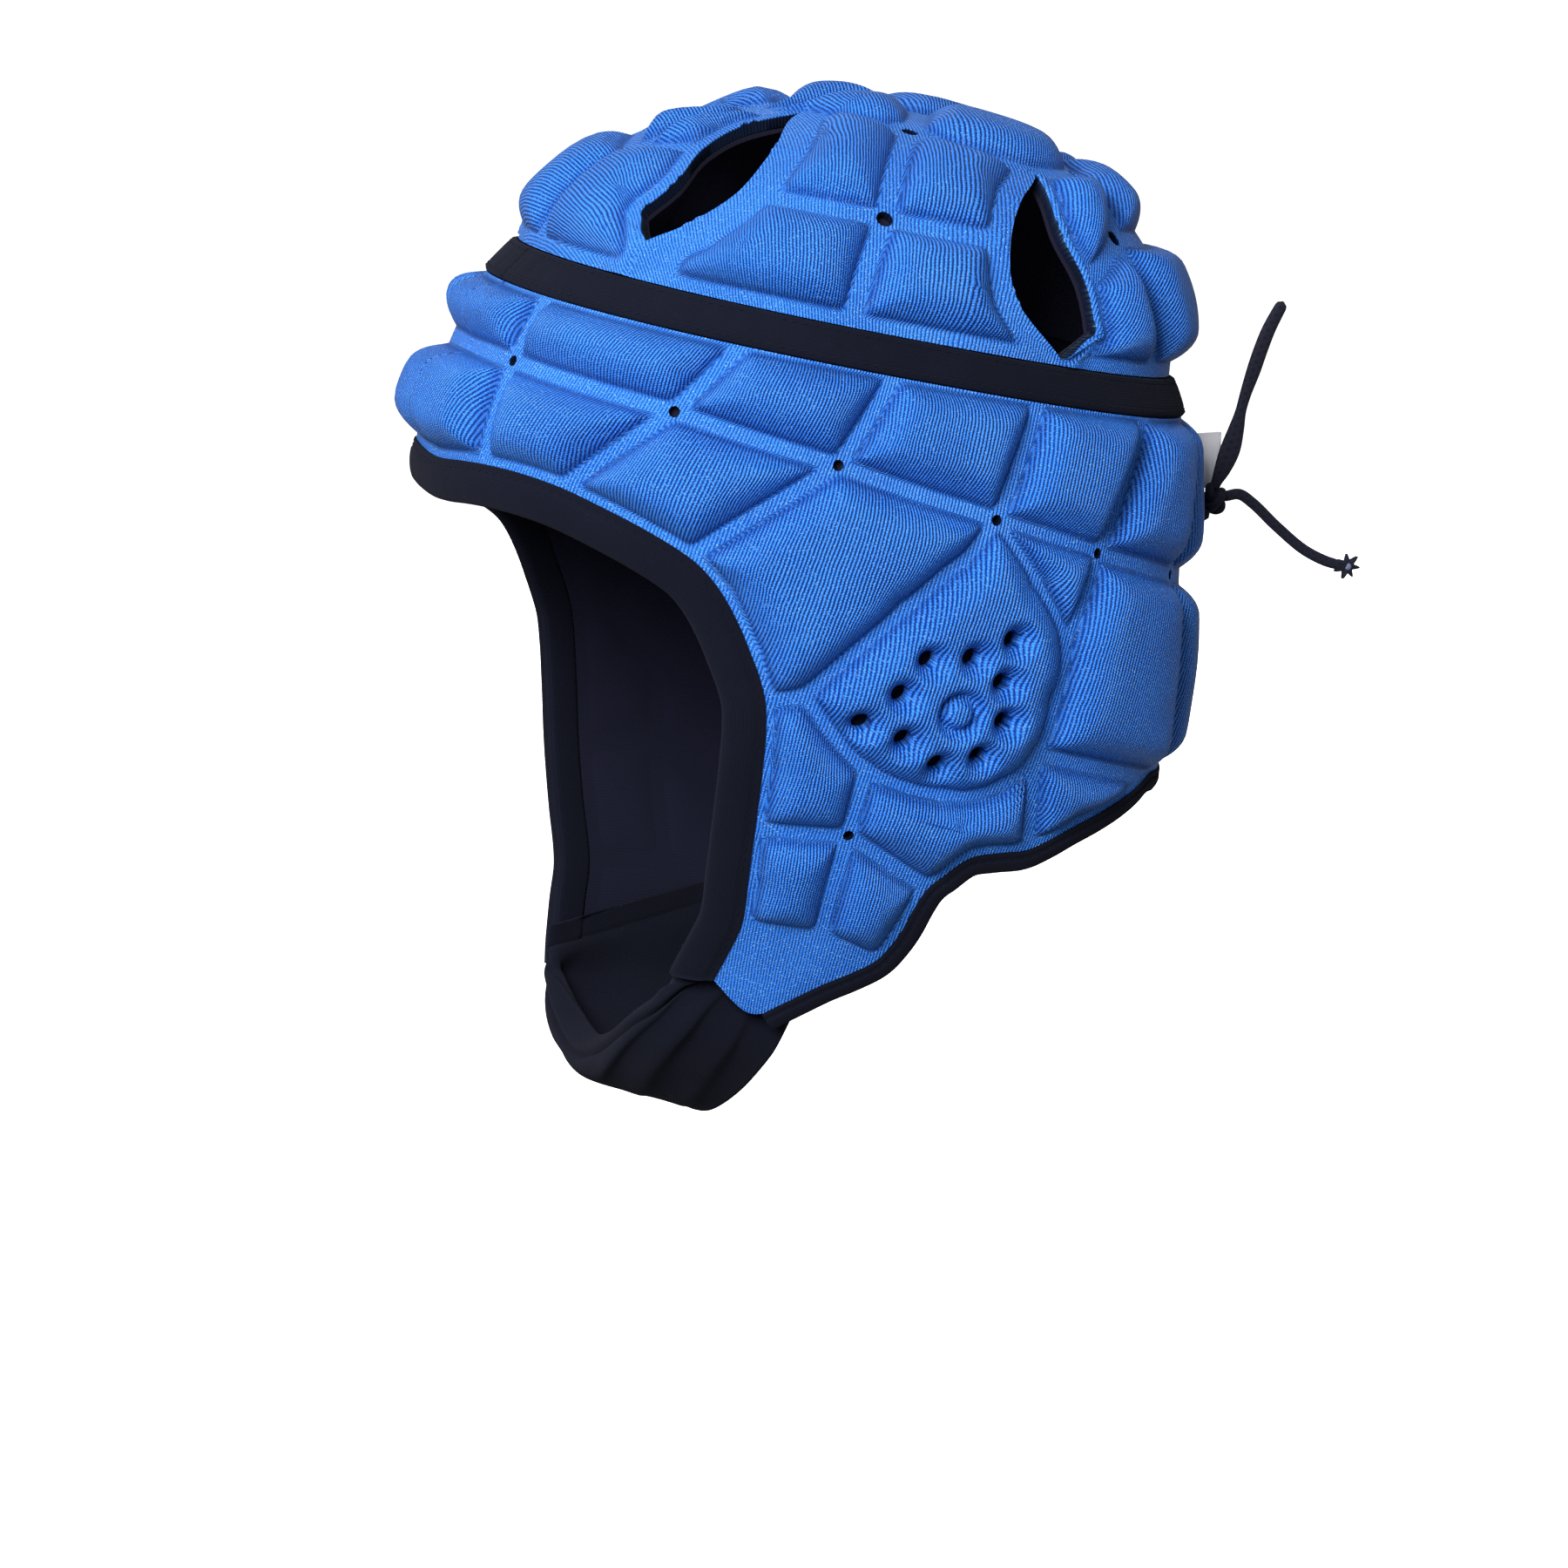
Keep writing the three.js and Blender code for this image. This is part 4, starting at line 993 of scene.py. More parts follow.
def edge_frames(names, sign, step):
    """Places along an edge of the side shell, with the outward normal and the way off the cloth."""
    zone = SIDE_SHAPE
    chart = []
    for a, b in zip(names, names[1:]):
        line = zone.line(a, b)[0]
        if chart and abs(line[0][0] - chart[-1][0]) > 180:
            line = line + [360 * np.sign(chart[-1][0] - line[0][0]), 0]
        chart += list(line[:-1])
        last = line[-1]
    chart = np.array(chart + [last])
    chart = spaced(flowing(chart * EDGE_EVEN, 6), step) / EDGE_EVEN
    spots, normal = zone.spot(chart), zone.normal(chart)
    run = unit(np.gradient(spots, axis=0))
    kernel = np.array([1, 2, 3, 2, 1]) / 9
    smooth = np.pad(run, ((2, 2), (0, 0)), mode="edge")
    run = unit(sum(w * smooth[i:i + len(run)] for i, w in enumerate(kernel)))
    return spots, normal, unit(np.cross(run, normal)) * sign


def both_sides(chain, middle):
    """A chain of corners and its mirror image as one run."""
    names = chain.split()
    back = [SIDE_SHAPE.mirrored(n) for n in names[::-1]]
    return names + middle + (back[1:] if back[0] == names[-1] else back)


def sew_binding(names, sign, width, puff, slip, reach):
    """Folded tape round an edge, rolled at its lip and drawn in along its seam."""
    spots, normal, away = edge_frames(names, sign, BINDING_STEP)
    length = run_of(spots)
    sewn = Sewn()
    across = np.linspace(0, 1, 15)
    rows, ends = [], []
    middle = (0.7 + LINING_IN) / 2
    lip = [(width - LIP + LIP * math.cos(a), middle + (0.5 - middle) * math.sin(a))
           for a in np.radians([60, 35, 10, -15, -40, -65])]
    under = [(GAP + (width - 1.6) * t, LINING_IN - 0.35 * math.sin(math.pi * t)) for t in across[::-2]]
    for i in range(len(spots)):
        pull = 0.18 * math.sin(length[i] * 0.9) + 0.12 * math.sin(length[i] * 0.37 + 1)
        outer = [(OVERLAP + (width - LIP - OVERLAP) * t,
                  0.5 + puff * math.sin(math.pi * t) ** 0.8 - 0.55 * math.exp(-((t * width - 1.9) / 0.55) ** 2)
                  + 0.25 * pull * t) for t in across]
        section = outer + lip + under
        start, stop = (max(0, 1 - d / END_FADE) ** 2 for d in (length[i], length[-1] - length[i]))
        outward = np.cross(away[i], normal[i]) * sign
        drawn = outward * (start * reach[0] - stop * reach[1])
        ends.append(spots[i] + drawn + away[i] * width / 2 + normal[i] * middle)
        slant = outward * (start - stop) * slip
        ring = [spots[i] + drawn + away[i] * off + normal[i] * up + slant * off / width for off, up in section]
        weave = [(length[i], off + (0 if up > middle else 30), min(1, max(0, (off - width + 3) / 3)))
                 for off, up in section]
        rows.append(sewn.lay(placed(np.array(ring)), weave))
    sewn.skin(rows, flip=sign > 0)
    for i, flip in ((0, sign > 0), (-1, sign < 0)):
        sewn.cap(rows[i], placed(ends[i]), (length[i], 0, 1), flip)
    return sewn, (spots, normal, away)


def sew_stitches(row, normal, name, slot):
    """Thread stitches at even places along a row, each a short rounded bar half sunk in the cloth."""
    step = settings().trim.stitch
    run = run_of(row)
    at = np.arange(step, run[-1] - step, step)
    spots = sampled(row, run, at)
    along = unit(sampled(row, run, at + 0.3) - spots)
    normal = normal[np.clip(np.searchsorted(run, at), 0, len(row) - 1) % len(normal)]
    sewn = Sewn()
    a = turns(STITCH_SIDES)
    for spot, ahead, out, across in zip(spots, along, normal, unit(np.cross(along, normal))):
        rows = []
        for t, r in STITCH_FORM:
            centre = spot + ahead * t * STITCH_LENGTH / 2 - out * STITCH_RADIUS * 0.9 * t * t
            ring = centre + STITCH_RADIUS * r * (np.outer(np.cos(a), across) + np.outer(np.sin(a), out))
            rows.append(sewn.lay(ring, [(0, 0, 0)] * STITCH_SIDES))
        sewn.skin(rows)
        sewn.face(tuple(rows[0]), True)
        sewn.face(tuple(rows[-1]), False)
    sewn.piece(name, trim_finish("black_thread", 0.3, 0.03), slot)


class Wire:
    """A socket of a material's node tree that takes part in Python sums."""

    def __init__(self, tree, socket=None):
        self.tree, self.socket = tree, socket

    def node(self, kind, settings=None, inputs=None, output=0):
        """Any node: its settings first, then the values or links of its sockets."""
        made = self.tree.nodes.new(kind)
        for name, value in (settings or {}).items():
            setattr(made, name, value)
        for name, value in (inputs or {}).items():
            if isinstance(value, Wire):
                self.tree.links.new(value.socket, made.inputs[name])
            else:
                made.inputs[name].default_value = value
        return Wire(self.tree, made.outputs[output] if made.outputs else None)

    def sum(self, operation, *values):
        return self.node("ShaderNodeMath", {"operation": operation}, dict(enumerate(values)))

    def __add__(self, other):
        return self.sum("ADD", self, other)

    def __sub__(self, other):
        return self.sum("SUBTRACT", self, other)

    def __rsub__(self, other):
        return self.sum("SUBTRACT", other, self)

    def __mul__(self, other):
        return self.sum("MULTIPLY", self, other)

    def __truediv__(self, other):
        return self.sum("DIVIDE", self, other)

    def __pow__(self, other):
        return self.sum("POWER", self, other)

    __radd__ = __add__
    __rmul__ = __mul__

    def floor(self):
        return self.sum("FLOOR", self)

    def fraction(self):
        return self.sum("FRACT", self)

    def wave(self):
        """Goes from 0 to 1 and back once for each whole step of the value."""
        return self.sum("COSINE", self * (2 * math.pi)) * 0.5 + 0.5

    def ridge(self):
        """A rounded rib for each whole step of the value, with a sharp valley between ribs."""
        swing = self.fraction() * 2 - 1
        return 1 - swing * swing

    def clamped(self, low, high):
        return self.node("ShaderNodeMapRange", {"interpolation_type": "SMOOTHSTEP"},
                         {"Value": self, "From Min": low, "From Max": high})

    def tint(self, a, b):
        """Colour from a to b by this value."""
        return self.node("ShaderNodeMix", {"data_type": "RGBA"}, {0: self, 6: a, 7: b}, 2)

    def noise(self, where, scale, detail=2.0):
        return self.node("ShaderNodeTexNoise", {}, {"Vector": where, "Scale": scale, "Detail": detail})


def finish_material(name, build, **constants):
    """A material whose shader takes its colour, roughness and bump from the build function."""
    made = bpy.data.materials.new(name)
    made.use_nodes = True
    tree = made.node_tree
    tree.nodes.clear()
    wire = Wire(tree)
    place = wire.node("ShaderNodeTexCoord", output=3)
    weave = wire.node("ShaderNodeAttribute", {"attribute_name": "weave"}, output=1)
    parts = [wire.node("ShaderNodeSeparateXYZ", {}, {0: weave}, k) for k in range(3)]
    colour, roughness, height, depth = build(wire, place, *parts)
    normal = wire.node("ShaderNodeBump", {}, {"Strength": 1.0, "Distance": depth, "Height": height})
    shader = wire.node("ShaderNodeBsdfPrincipled", {},
                       {"Base Color": colour, "Roughness": roughness, "Normal": normal, **constants})
    wire.node("ShaderNodeOutputMaterial", {}, {"Surface": shader})
    return made


def rgba(colour):
    return (*colour, 1.0)


def knit_finish(knit):
    """Shiny ribbed knit: rows of small stitches with a painted highlight on the rib tops and painted shade
    between them, painted glints that are stronger where it is pressed, and painted shade in the crease round
    each pad and inside holes and vents.
    """

    def build(wire, place, across, along, depth):
        cloth = wire.node("ShaderNodeCombineXYZ", {}, {0: across, 1: along, 2: 0.0})
        press = 1 - depth.clamped(-0.4, 1.2)
        # Mask of the crease at the foot of each pad, where painted shade goes.
        seam = depth.clamped(-0.9, 0.2) * (1 - depth.clamped(0.4, 1.9))
        wander = wire.noise(cloth, 0.11)
        ribs = across / (knit.rib_pitch * 1000) + wander * 0.9
        rib = ribs.ridge() ** 1.5
        stitch = (along / (knit.stitch * 1000) + ribs.floor() * 0.5 + wander * 0.6).wave()
        # Painted glints: bright specks of painted highlight on the shiny stitches, stronger on the pressed
        # groove floor.
        painted_glint = wire.noise(cloth, 1.9, 1.0).clamped(0.56, 0.72)
        cloud = wire.noise(place, 45.0)
        # press * 0.22 is painted light on the flat groove floor. The weaker ribs there come from real pressing.
        lit = rib * (0.55 + stitch * 0.45) * (1 - press * 0.35) + press * 0.22
        shade = (lit + cloud * 0.3 - 0.15).clamped(0.0, 1.0)
        # Painted light and shade on the ribs: rib tops take a painted highlight and the valleys take painted
        # shade.
        colour = shade.tint(rgba(knit.valley), rgba(knit.ridge))
        colour = (painted_glint * (0.38 + press * 0.22)).tint(colour, rgba(knit.painted_glint))
        # Painted shade in the crease round each pad.
        colour = (seam * 0.5).tint(colour, rgba(knit.seam))
        # Painted shade: cut walls and the back of the shell turn near black inside holes and vents.
        colour = depth.clamped(-21.0, -15.0).tint(rgba(knit.hole_shade), colour)
        roughness = 0.40 - rib * 0.1 + cloud * 0.06 - painted_glint * 0.1
        height = rib * (0.75 + stitch * 0.25) * (1 - press * 0.35) + painted_glint * 0.25
        return colour, roughness, height, knit.rib_depth

    return finish_material("blue_ribbed_knit", build, **{
        "Sheen Weight": 0.05, "Sheen Roughness": 0.35, "Sheen Tint": rgba((0.35, 0.65, 1.0)),
        "Specular IOR Level": 0.38, "Specular Tint": rgba((0.30, 0.66, 1.0))})


def jersey_finish(name, tone, worn, pitch, rough):
    """Soft matt jersey: fine stitch columns, pilling and a little wear where the cloth is folded."""

    def build(wire, place, across, along, press):
        columns = along / pitch
        loops = (across / (pitch * 0.8) + columns.floor() * 0.5).wave()
        stitch = columns.ridge() * (0.5 + loops * 0.5)
        fuzz = wire.noise(place, 1600.0, 3.0)
        cloud = wire.noise(place, 38.0)
        pill = wire.noise(place, 420.0, 2.0).clamped(0.62, 0.78)
        light = (stitch * 0.25 + fuzz * 0.35 + cloud * 0.5 - 0.3 + press * 0.18 + pill * 0.15).clamped(0.0, 1.0)
        colour = light.tint(rgba(tone), rgba(worn))
        return colour, 0.86 - stitch * 0.06 + fuzz * 0.08, stitch * 0.6 + fuzz * 0.4, 0.00018

    return finish_material(name, build, **{
        "Sheen Weight": rough, "Sheen Roughness": 0.6, "Sheen Tint": rgba((0.6, 0.62, 0.8)),
        "Specular IOR Level": 0.06})


def braid_finish(name, tone, worn):
    """Braided lace: strands that cross in both directions round it."""

    def build(wire, place, along, around, press):
        left = (along / 2.4 + around * 0.4).ridge()
        right = (along / 2.4 - around * 0.4 + 0.5).ridge()
        strand = left.sum("MAXIMUM", left, right)
        fuzz = wire.noise(place, 1500.0, 2.0)
        light = (strand * 0.6 + fuzz * 0.5 - 0.25).clamped(0.0, 1.0)
        return light.tint(rgba(tone), rgba(worn)), 0.74 + fuzz * 0.12, strand * 0.8 + fuzz * 0.2, 0.00025

    return finish_material(name, build, **{
        "Sheen Weight": 0.04, "Sheen Roughness": 0.5, "Sheen Tint": rgba((0.7, 0.7, 0.85)),
        "Specular IOR Level": 0.2})


def tape_finish(name, tone, shade):
    """Smooth woven label tape with a fine plain weave."""

    def build(wire, place, across, along, press):
        warp = (across / 0.35).wave()
        weft = (along / 0.35).wave()
        thread = warp.sum("MAXIMUM", warp * (1 - weft), weft * (1 - warp))
        soil = wire.noise(place, 160.0)
        light = (thread * 0.3 + soil * 0.5 + 0.1 - press * 0.2).clamped(0.0, 1.0)
        return light.tint(rgba(shade), rgba(tone)), 0.66 + soil * 0.1, thread, 0.00006

    return finish_material(name, build, **{"Sheen Weight": 0.05, "Specular IOR Level": 0.3})


def tone(name, description, colour):
    return FloatVectorProperty(
        name=name, description=description, default=colour, size=3, min=0, max=1, subtype="COLOR")


def measure(name, description, value, least=-1000, unit="NONE"):
    return FloatProperty(name=name, description=description, default=value, min=least, unit=unit)


class ScrumCapKnit(bpy.types.PropertyGroup):
    """The ribbed knit that covers the foam."""
    rib_pitch: measure("Rib pitch", "Distance from rib to rib", 0.00105, 0.0003, "LENGTH")
    stitch: measure("Stitch", "Length of one stitch along a rib", 0.00075, 0.0002, "LENGTH")
    rib_depth: measure("Rib depth", "Height of a rib above its valley", 0.00048, 0, "LENGTH")
    # Ridge and valley colours paint a highlight on the rib tops and shade between the ribs.
    ridge: tone("Ridge highlight colour", "Colour on top of the ribs", (0.043, 0.262, 0.98))
    valley: tone("Valley shade colour", "Colour between the ribs", (0.003, 0.027, 0.21))
    # Colour of the painted glints on the knit.
    painted_glint: tone("Painted glint colour", "Colour of the bright stitches", (0.32, 0.63, 1.0))
    # Colour of the painted shade inside holes and vents.
    hole_shade: tone("Hole shade colour", "Colour inside the holes and vents", (0.004, 0.006, 0.02))
    # Colour of the painted shade in the crease round a pad.
    seam: tone("Crease shade colour", "Colour in the crease round a pad", (0.003, 0.022, 0.17))


class ScrumCapPads(bpy.types.PropertyGroup):
    """The foam cells, in millimetres of the pattern."""
    wall: measure("Wall", "Width of the steep wall of a cell, in mm", 8.2, 1)
    dome: measure("Dome", "How far in from its foot a cell goes on rising, in mm", 20, 4)
    corner: measure("Corner", "Roundness of a cell's corners, in mm", 3.2, 1)
    quilt: measure("Quilting", "How far the lining swells between the grooves, in mm", 0.8, 0)
    uneven: measure("Unevenness", "Slow unevenness of the soft surface, in mm", 0.16, 0)


class ScrumCapTrim(bpy.types.PropertyGroup):
    """The black cloth, lace and label."""
    cloth: tone("Cloth colour", "Colour of bindings, band and strap", (0.0034, 0.0042, 0.0100))
    worn: tone("Worn colour", "Colour where the black cloth is rubbed", (0.0076, 0.0090, 0.0190))
    lining: tone("Lining colour", "Colour of the lining", (0.0092, 0.0092, 0.0230))
    lace: tone("Lace colour", "Colour of the lace", (0.0045, 0.0052, 0.011))
    label: tone("Label colour", "Colour of the blank tab", (0.93, 0.93, 0.97))
    stitch: measure("Stitch step", "Distance from stitch to stitch, in mm", 2.9, 1)


class ScrumCapStage(bpy.types.PropertyGroup):
    """Floor, light and camera."""
    floor: measure("Floor", "Height of the floor", CAD_BOX[0][2] - 0.12, unit="LENGTH")
    floor_tone: tone("Floor colour", "Colour of the floor", (0.9, 0.9, 0.9))
    azimuth: measure("Camera azimuth", "Degrees round from the front", 68)
    elevation: measure("Camera elevation", "Degrees above the horizon", 9)
    distance: measure("Camera distance", "From the band's centre", 1.5, 0.3, "LENGTH")
    glow: measure("Floor glow", "Light that the floor gives off", 0.9, 0)
    key: measure("Key light", "Power of the front light", 7.5, 0, "POWER")
    fill: measure("Fill light", "Power of the light by the camera", 26, 0, "POWER")
    top: measure("Top light", "Power of the light overhead", 2, 0, "POWER")
    rear: measure("Rear light", "Power of the light behind", 13, 0, "POWER")
    sky: measure("Room light", "Strength of the light all round", 0.24, 0)


def settings():
    return bpy.context.scene.scrum_cap


class ScrumCapSettings(bpy.types.PropertyGroup):
    """All that a user may change."""
    knit: PointerProperty(name="Knit", description="The blue cover", type=ScrumCapKnit)
    pads: PointerProperty(name="Pads", description="The foam cells", type=ScrumCapPads)
    trim: PointerProperty(name="Trim", description="Black cloth, lace and label", type=ScrumCapTrim)
    stage: PointerProperty(name="Stage", description="Floor, light and camera", type=ScrumCapStage)


def face_along(thing, way):
    thing.rotation_mode = "QUATERNION"
    thing.rotation_quaternion = way.to_track_quat("-Z", "Y")


class SCRUMCAP_OT_stage(bpy.types.Operator):
    """Lay the floor, hang the lights and set up the camera"""
    bl_idname = "scrum_cap.stage"
    bl_label = "Stage"

    def execute(self, context):
        stage = settings().stage
        scene = context.scene
        mesh = bpy.data.meshes.new("floor")
        r = FLOOR_REACH
        mesh.from_pydata([(x, y, stage.floor) for x, y in ((-r, -r), (r, -r), (r, r), (-r, r))],
                         [], [(0, 1, 2, 3)])
        floor = linked("floor", mesh)
        floor.visible_diffuse = floor.visible_glossy = False

        def plain(wire, place, across, along, press):
            cloud = wire.noise(place, 1.5)
            tone = stage.floor_tone
            soft = tuple(0.98 * c for c in tone)
            return cloud.tint(rgba(soft), rgba(tone)), 0.9 + cloud * 0.05, cloud, 0.0001

        mesh.materials.append(finish_material("pale_floor", plain, **{
            "Specular IOR Level": 0.1, "Emission Color": rgba((1, 1, 1)), "Emission Strength": stage.glow}))
        centre = Vector(placed(np.zeros(3))) * 0.001
        a, e = math.radians(stage.azimuth), math.radians(stage.elevation)
        back = Vector((math.sin(a) * math.cos(e), -math.cos(a) * math.cos(e), math.sin(e)))
        right = Vector((math.cos(a), math.sin(a), 0))
        up = back.cross(right)
        camera = bpy.data.cameras.new("camera")
        camera.sensor_width, camera.lens, camera.clip_end = SENSOR, LENS, CLIP_END
        eye = linked("camera", camera)
        eye.location = centre + back * stage.distance
        aim = centre - right * AIM_LEFT - up * AIM_DOWN
        face_along(eye, aim - eye.location)
        scene.camera = eye
        middle = centre + Vector((0, 0, -LIGHTS_DOWN))
        for name, (near, aside, high, size) in LIGHTS.items():
            way = back * near + right * aside + up * high
            lamp = bpy.data.lights.new(name, "AREA")
            lamp.shape, lamp.size, lamp.energy = "DISK", size, getattr(stage, name)
            hung = linked(name, lamp)
            hung.location = middle + way
            hung.visible_glossy = name != "rear"
            face_along(hung, -way)
        world = bpy.data.worlds.new("room")
        world.use_nodes = True
        sky = next(n for n in world.node_tree.nodes if n.type == "BACKGROUND")
        sky.inputs["Color"].default_value = (1, 1, 1, 1)
        sky.inputs["Strength"].default_value = stage.sky
        scene.world = world
        scene.view_settings.view_transform = "Standard"
        return {"FINISHED"}


def knot_spot():
    return rear_spot(180, KNOT_LEVEL, KNOT_OUT) + KNOT_SIDE


def lace_finish():
    made = bpy.data.materials.get("black_braid")
    lace = settings().trim.lace
    return made or braid_finish("black_braid", lace, tuple(2.6 * c for c in lace))


class SCRUMCAP_OT_lace_ends(bpy.types.Operator):
    """Draw the two free ends of the lace, one up and one down with its frayed star"""
    bl_idname = "scrum_cap.lace_ends"
    bl_label = "Lace ends"

    def execute(self, context):
        finish = lace_finish()
        knot = knot_spot()
        frayed = self.star(finish, knot)
        for name, route, far_end, extra, thin in (
                ("lace_end_up", END_UP, "bare", [], 0.95), ("lace_end_down", END_DOWN, "knot", frayed, 1.15)):
            steps = np.array(route, float)
            line = spaced(flowing(np.column_stack([0 * steps[:, 0], steps])), END_STEP)
            half, line = line[:, 3], line[:, :3] + knot
            along = unit(np.gradient(line, axis=0))
            thick = np.tile([1.0, 0, 0], (len(line), 1))
            sewn = Sewn()
            tube(sewn, line, np.cross(thick, along), thick, half, np.minimum(half, thin), END_SIDES)
            made = sewn.piece(name, finish, "black_lace", name)
            length = np.linalg.norm(np.diff(line, axis=0), axis=1).sum() * 0.001
        return {"FINISHED"}

    def star(self, finish, knot):
        """Cut end of the lace, frayed into a small star with its core showing."""
        centre = knot + [0, END_DOWN[-1][0] + 1.4, END_DOWN[-1][1] - 0.2]
        sewn = Sewn()
        a = turns(56)
        swing = np.abs((a * 7 / (2 * np.pi) + 0.2) % 1 * 2 - 1)
        reach = 2.1 + 2.3 * swing ** 1.6 * (1 + 0.18 * np.sin(2 * a + 1))
        rows = []
        for x, share in STAR_FORM:
            r = 1.3 * share + (reach - 1.3) * share ** 1.5
            ring = centre + np.stack([x + 0.25 * np.sin(3 * a), r * np.cos(a), r * np.sin(a)], -1)
            rows.append(sewn.lay(ring, np.stack([r * 2, a * 2, 0 * a], -1)))
        sewn.skin(rows)
        sewn.cap(rows[0], centre + [-1.0, 0, 0], flip=True)
        sewn.cap(rows[-1], centre + [0.65, 0, 0])
        star = sewn.piece("lace_end_knot", finish, "black_lace", "lace_end_knot")
        core = Sewn()
        b = turns(14)
        rows = [core.lay(centre + np.stack([x + 0 * b, r * np.cos(b), r * np.sin(b)], -1), [(r, 0, 0)] * 14)
                for x, r in CORE_FORM]
        core.skin(rows)
        core.cap(rows[0], centre + [0.3, 0, 0], flip=True)
        core.cap(rows[-1], centre + [1.4, 0, 0])
        pale = braid_finish("lace_core", (0.07, 0.08, 0.16), (0.2, 0.22, 0.36))
        return [star, core.piece("lace_core", pale, "black_lace")]


class SCRUMCAP_OT_lacing(bpy.types.Operator):
    """Thread the lace across the back and tie its knot"""
    bl_idname = "scrum_cap.lacing"
    bl_label = "Lacing and knot"

    def execute(self, context):
        finish = lace_finish()
        first, second, third = CROSSINGS
        low = LACE_LOW + 0.3

        def end(side):
            return rear_spot(180 - side * 1.2, KNOT_LEVEL + 3.1, KNOT_OUT - 2.6) + KNOT_SIDE

        route = [
            end(1), rear_spot(169.5, KNOT_LEVEL + 7, 5.5),
            rear_spot(EYELET, first, low), rear_spot(180, (first + second) / 2, LACE_LOW),
            rear_spot(-EYELET, second, low), rear_spot(180, (second + third) / 2, LACE_LOW),
            rear_spot(EYELET, third, low), rear_spot(180, RUNG_LEVEL, LACE_LOW),
            rear_spot(-EYELET, third, low), rear_spot(180, (second + third) / 2, LACE_HIGH),
            rear_spot(EYELET, second, low), rear_spot(180, (first + second) / 2, LACE_HIGH),
            rear_spot(-EYELET, first, low), rear_spot(-176, KNOT_LEVEL + 7, 5), end(-1),
        ]
        line = spaced(flowing(route), 0.9)
        wide, thick = carried(line, np.array([0.0, 1, 0]))
        sewn = Sewn()
        tube(sewn, line, wide, thick, LACE_RADIUS, LACE_RADIUS, LACE_SIDES)
        sewn.piece("rear_lace", finish, "black_lace", "rear_lace")
        knot = knot_spot()
        t = np.linspace(0, 2 * np.pi, 150, endpoint=False)
        ring = 2.15 + 1.05 * np.cos(3 * t)
        loop = np.stack([ring * np.cos(2 * t), 1.9 * np.sin(3 * t), ring * np.sin(2 * t) * 1.15], -1) + knot
        along = unit(np.roll(loop, -1, axis=0) - np.roll(loop, 1, axis=0))
        out = unit(loop - knot)
        out = unit(out - along * (out * along).sum(-1, keepdims=True))
        across = np.cross(along, out)
        a = turns(LACE_SIDES)
        sewn = Sewn()
        rows = []
        for i in range(len(loop)):
            circle = loop[i] + 1.3 * (np.outer(np.cos(a), out[i]) + np.outer(np.sin(a), across[i]))
            rows.append(sewn.lay(circle, np.stack([np.full(LACE_SIDES, i * 0.25), a * 1.6, 0 * a], -1)))
        sewn.skin(rows, closed=True, flip=True)
        sewn.piece("lace_knot", finish, "black_lace", "lace_knot")
        return {"FINISHED"}


class SCRUMCAP_OT_pads(bpy.types.Operator):
    """Sew the padded crown and side shell with their foam cells, vents and ear panels"""
    bl_idname = "scrum_cap.pads"
    bl_label = "Crown and side shell"

    def execute(self, context):
        pads = settings().pads
        finish = knit_finish(settings().knit)
        step = 1.7
        for crown, name in ((True, "crown_pad"), (False, "side_shell")):
            sewn = sew_zone(Zone(crown, step, True), pads, 0, -SKIN)
            sewn.piece(name, finish, "blue_knit", name)
        return {"FINISHED"}


class SCRUMCAP_OT_linings(bpy.types.Operator):
    """Sew the lining of the crown and of the side shell"""
    bl_idname = "scrum_cap.linings"
    bl_label = "Linings"

    def execute(self, context):
        trim = settings().trim
        finish = jersey_finish("lining_jersey", trim.lining, trim.worn, 0.8, 0.03)
        for crown, name, flat, area in (
                (True, "crown_lining", (0.26, 0.3), 0.033), (False, "side_lining", (0.24, 0.64), 0.06)):
            sewn = sew_zone(Zone(crown, 4.0, False), settings().pads, LINING_OUT, LINING_IN, lining=True)
            made = sewn.piece(name, finish, "black_lining", name)
        return {"FINISHED"}


def trim_finish(name, pitch=0.7, sheen=0.025):
    made = bpy.data.materials.get(name)
    trim = settings().trim
    return made or jersey_finish(name, trim.cloth, trim.worn, pitch, sheen)


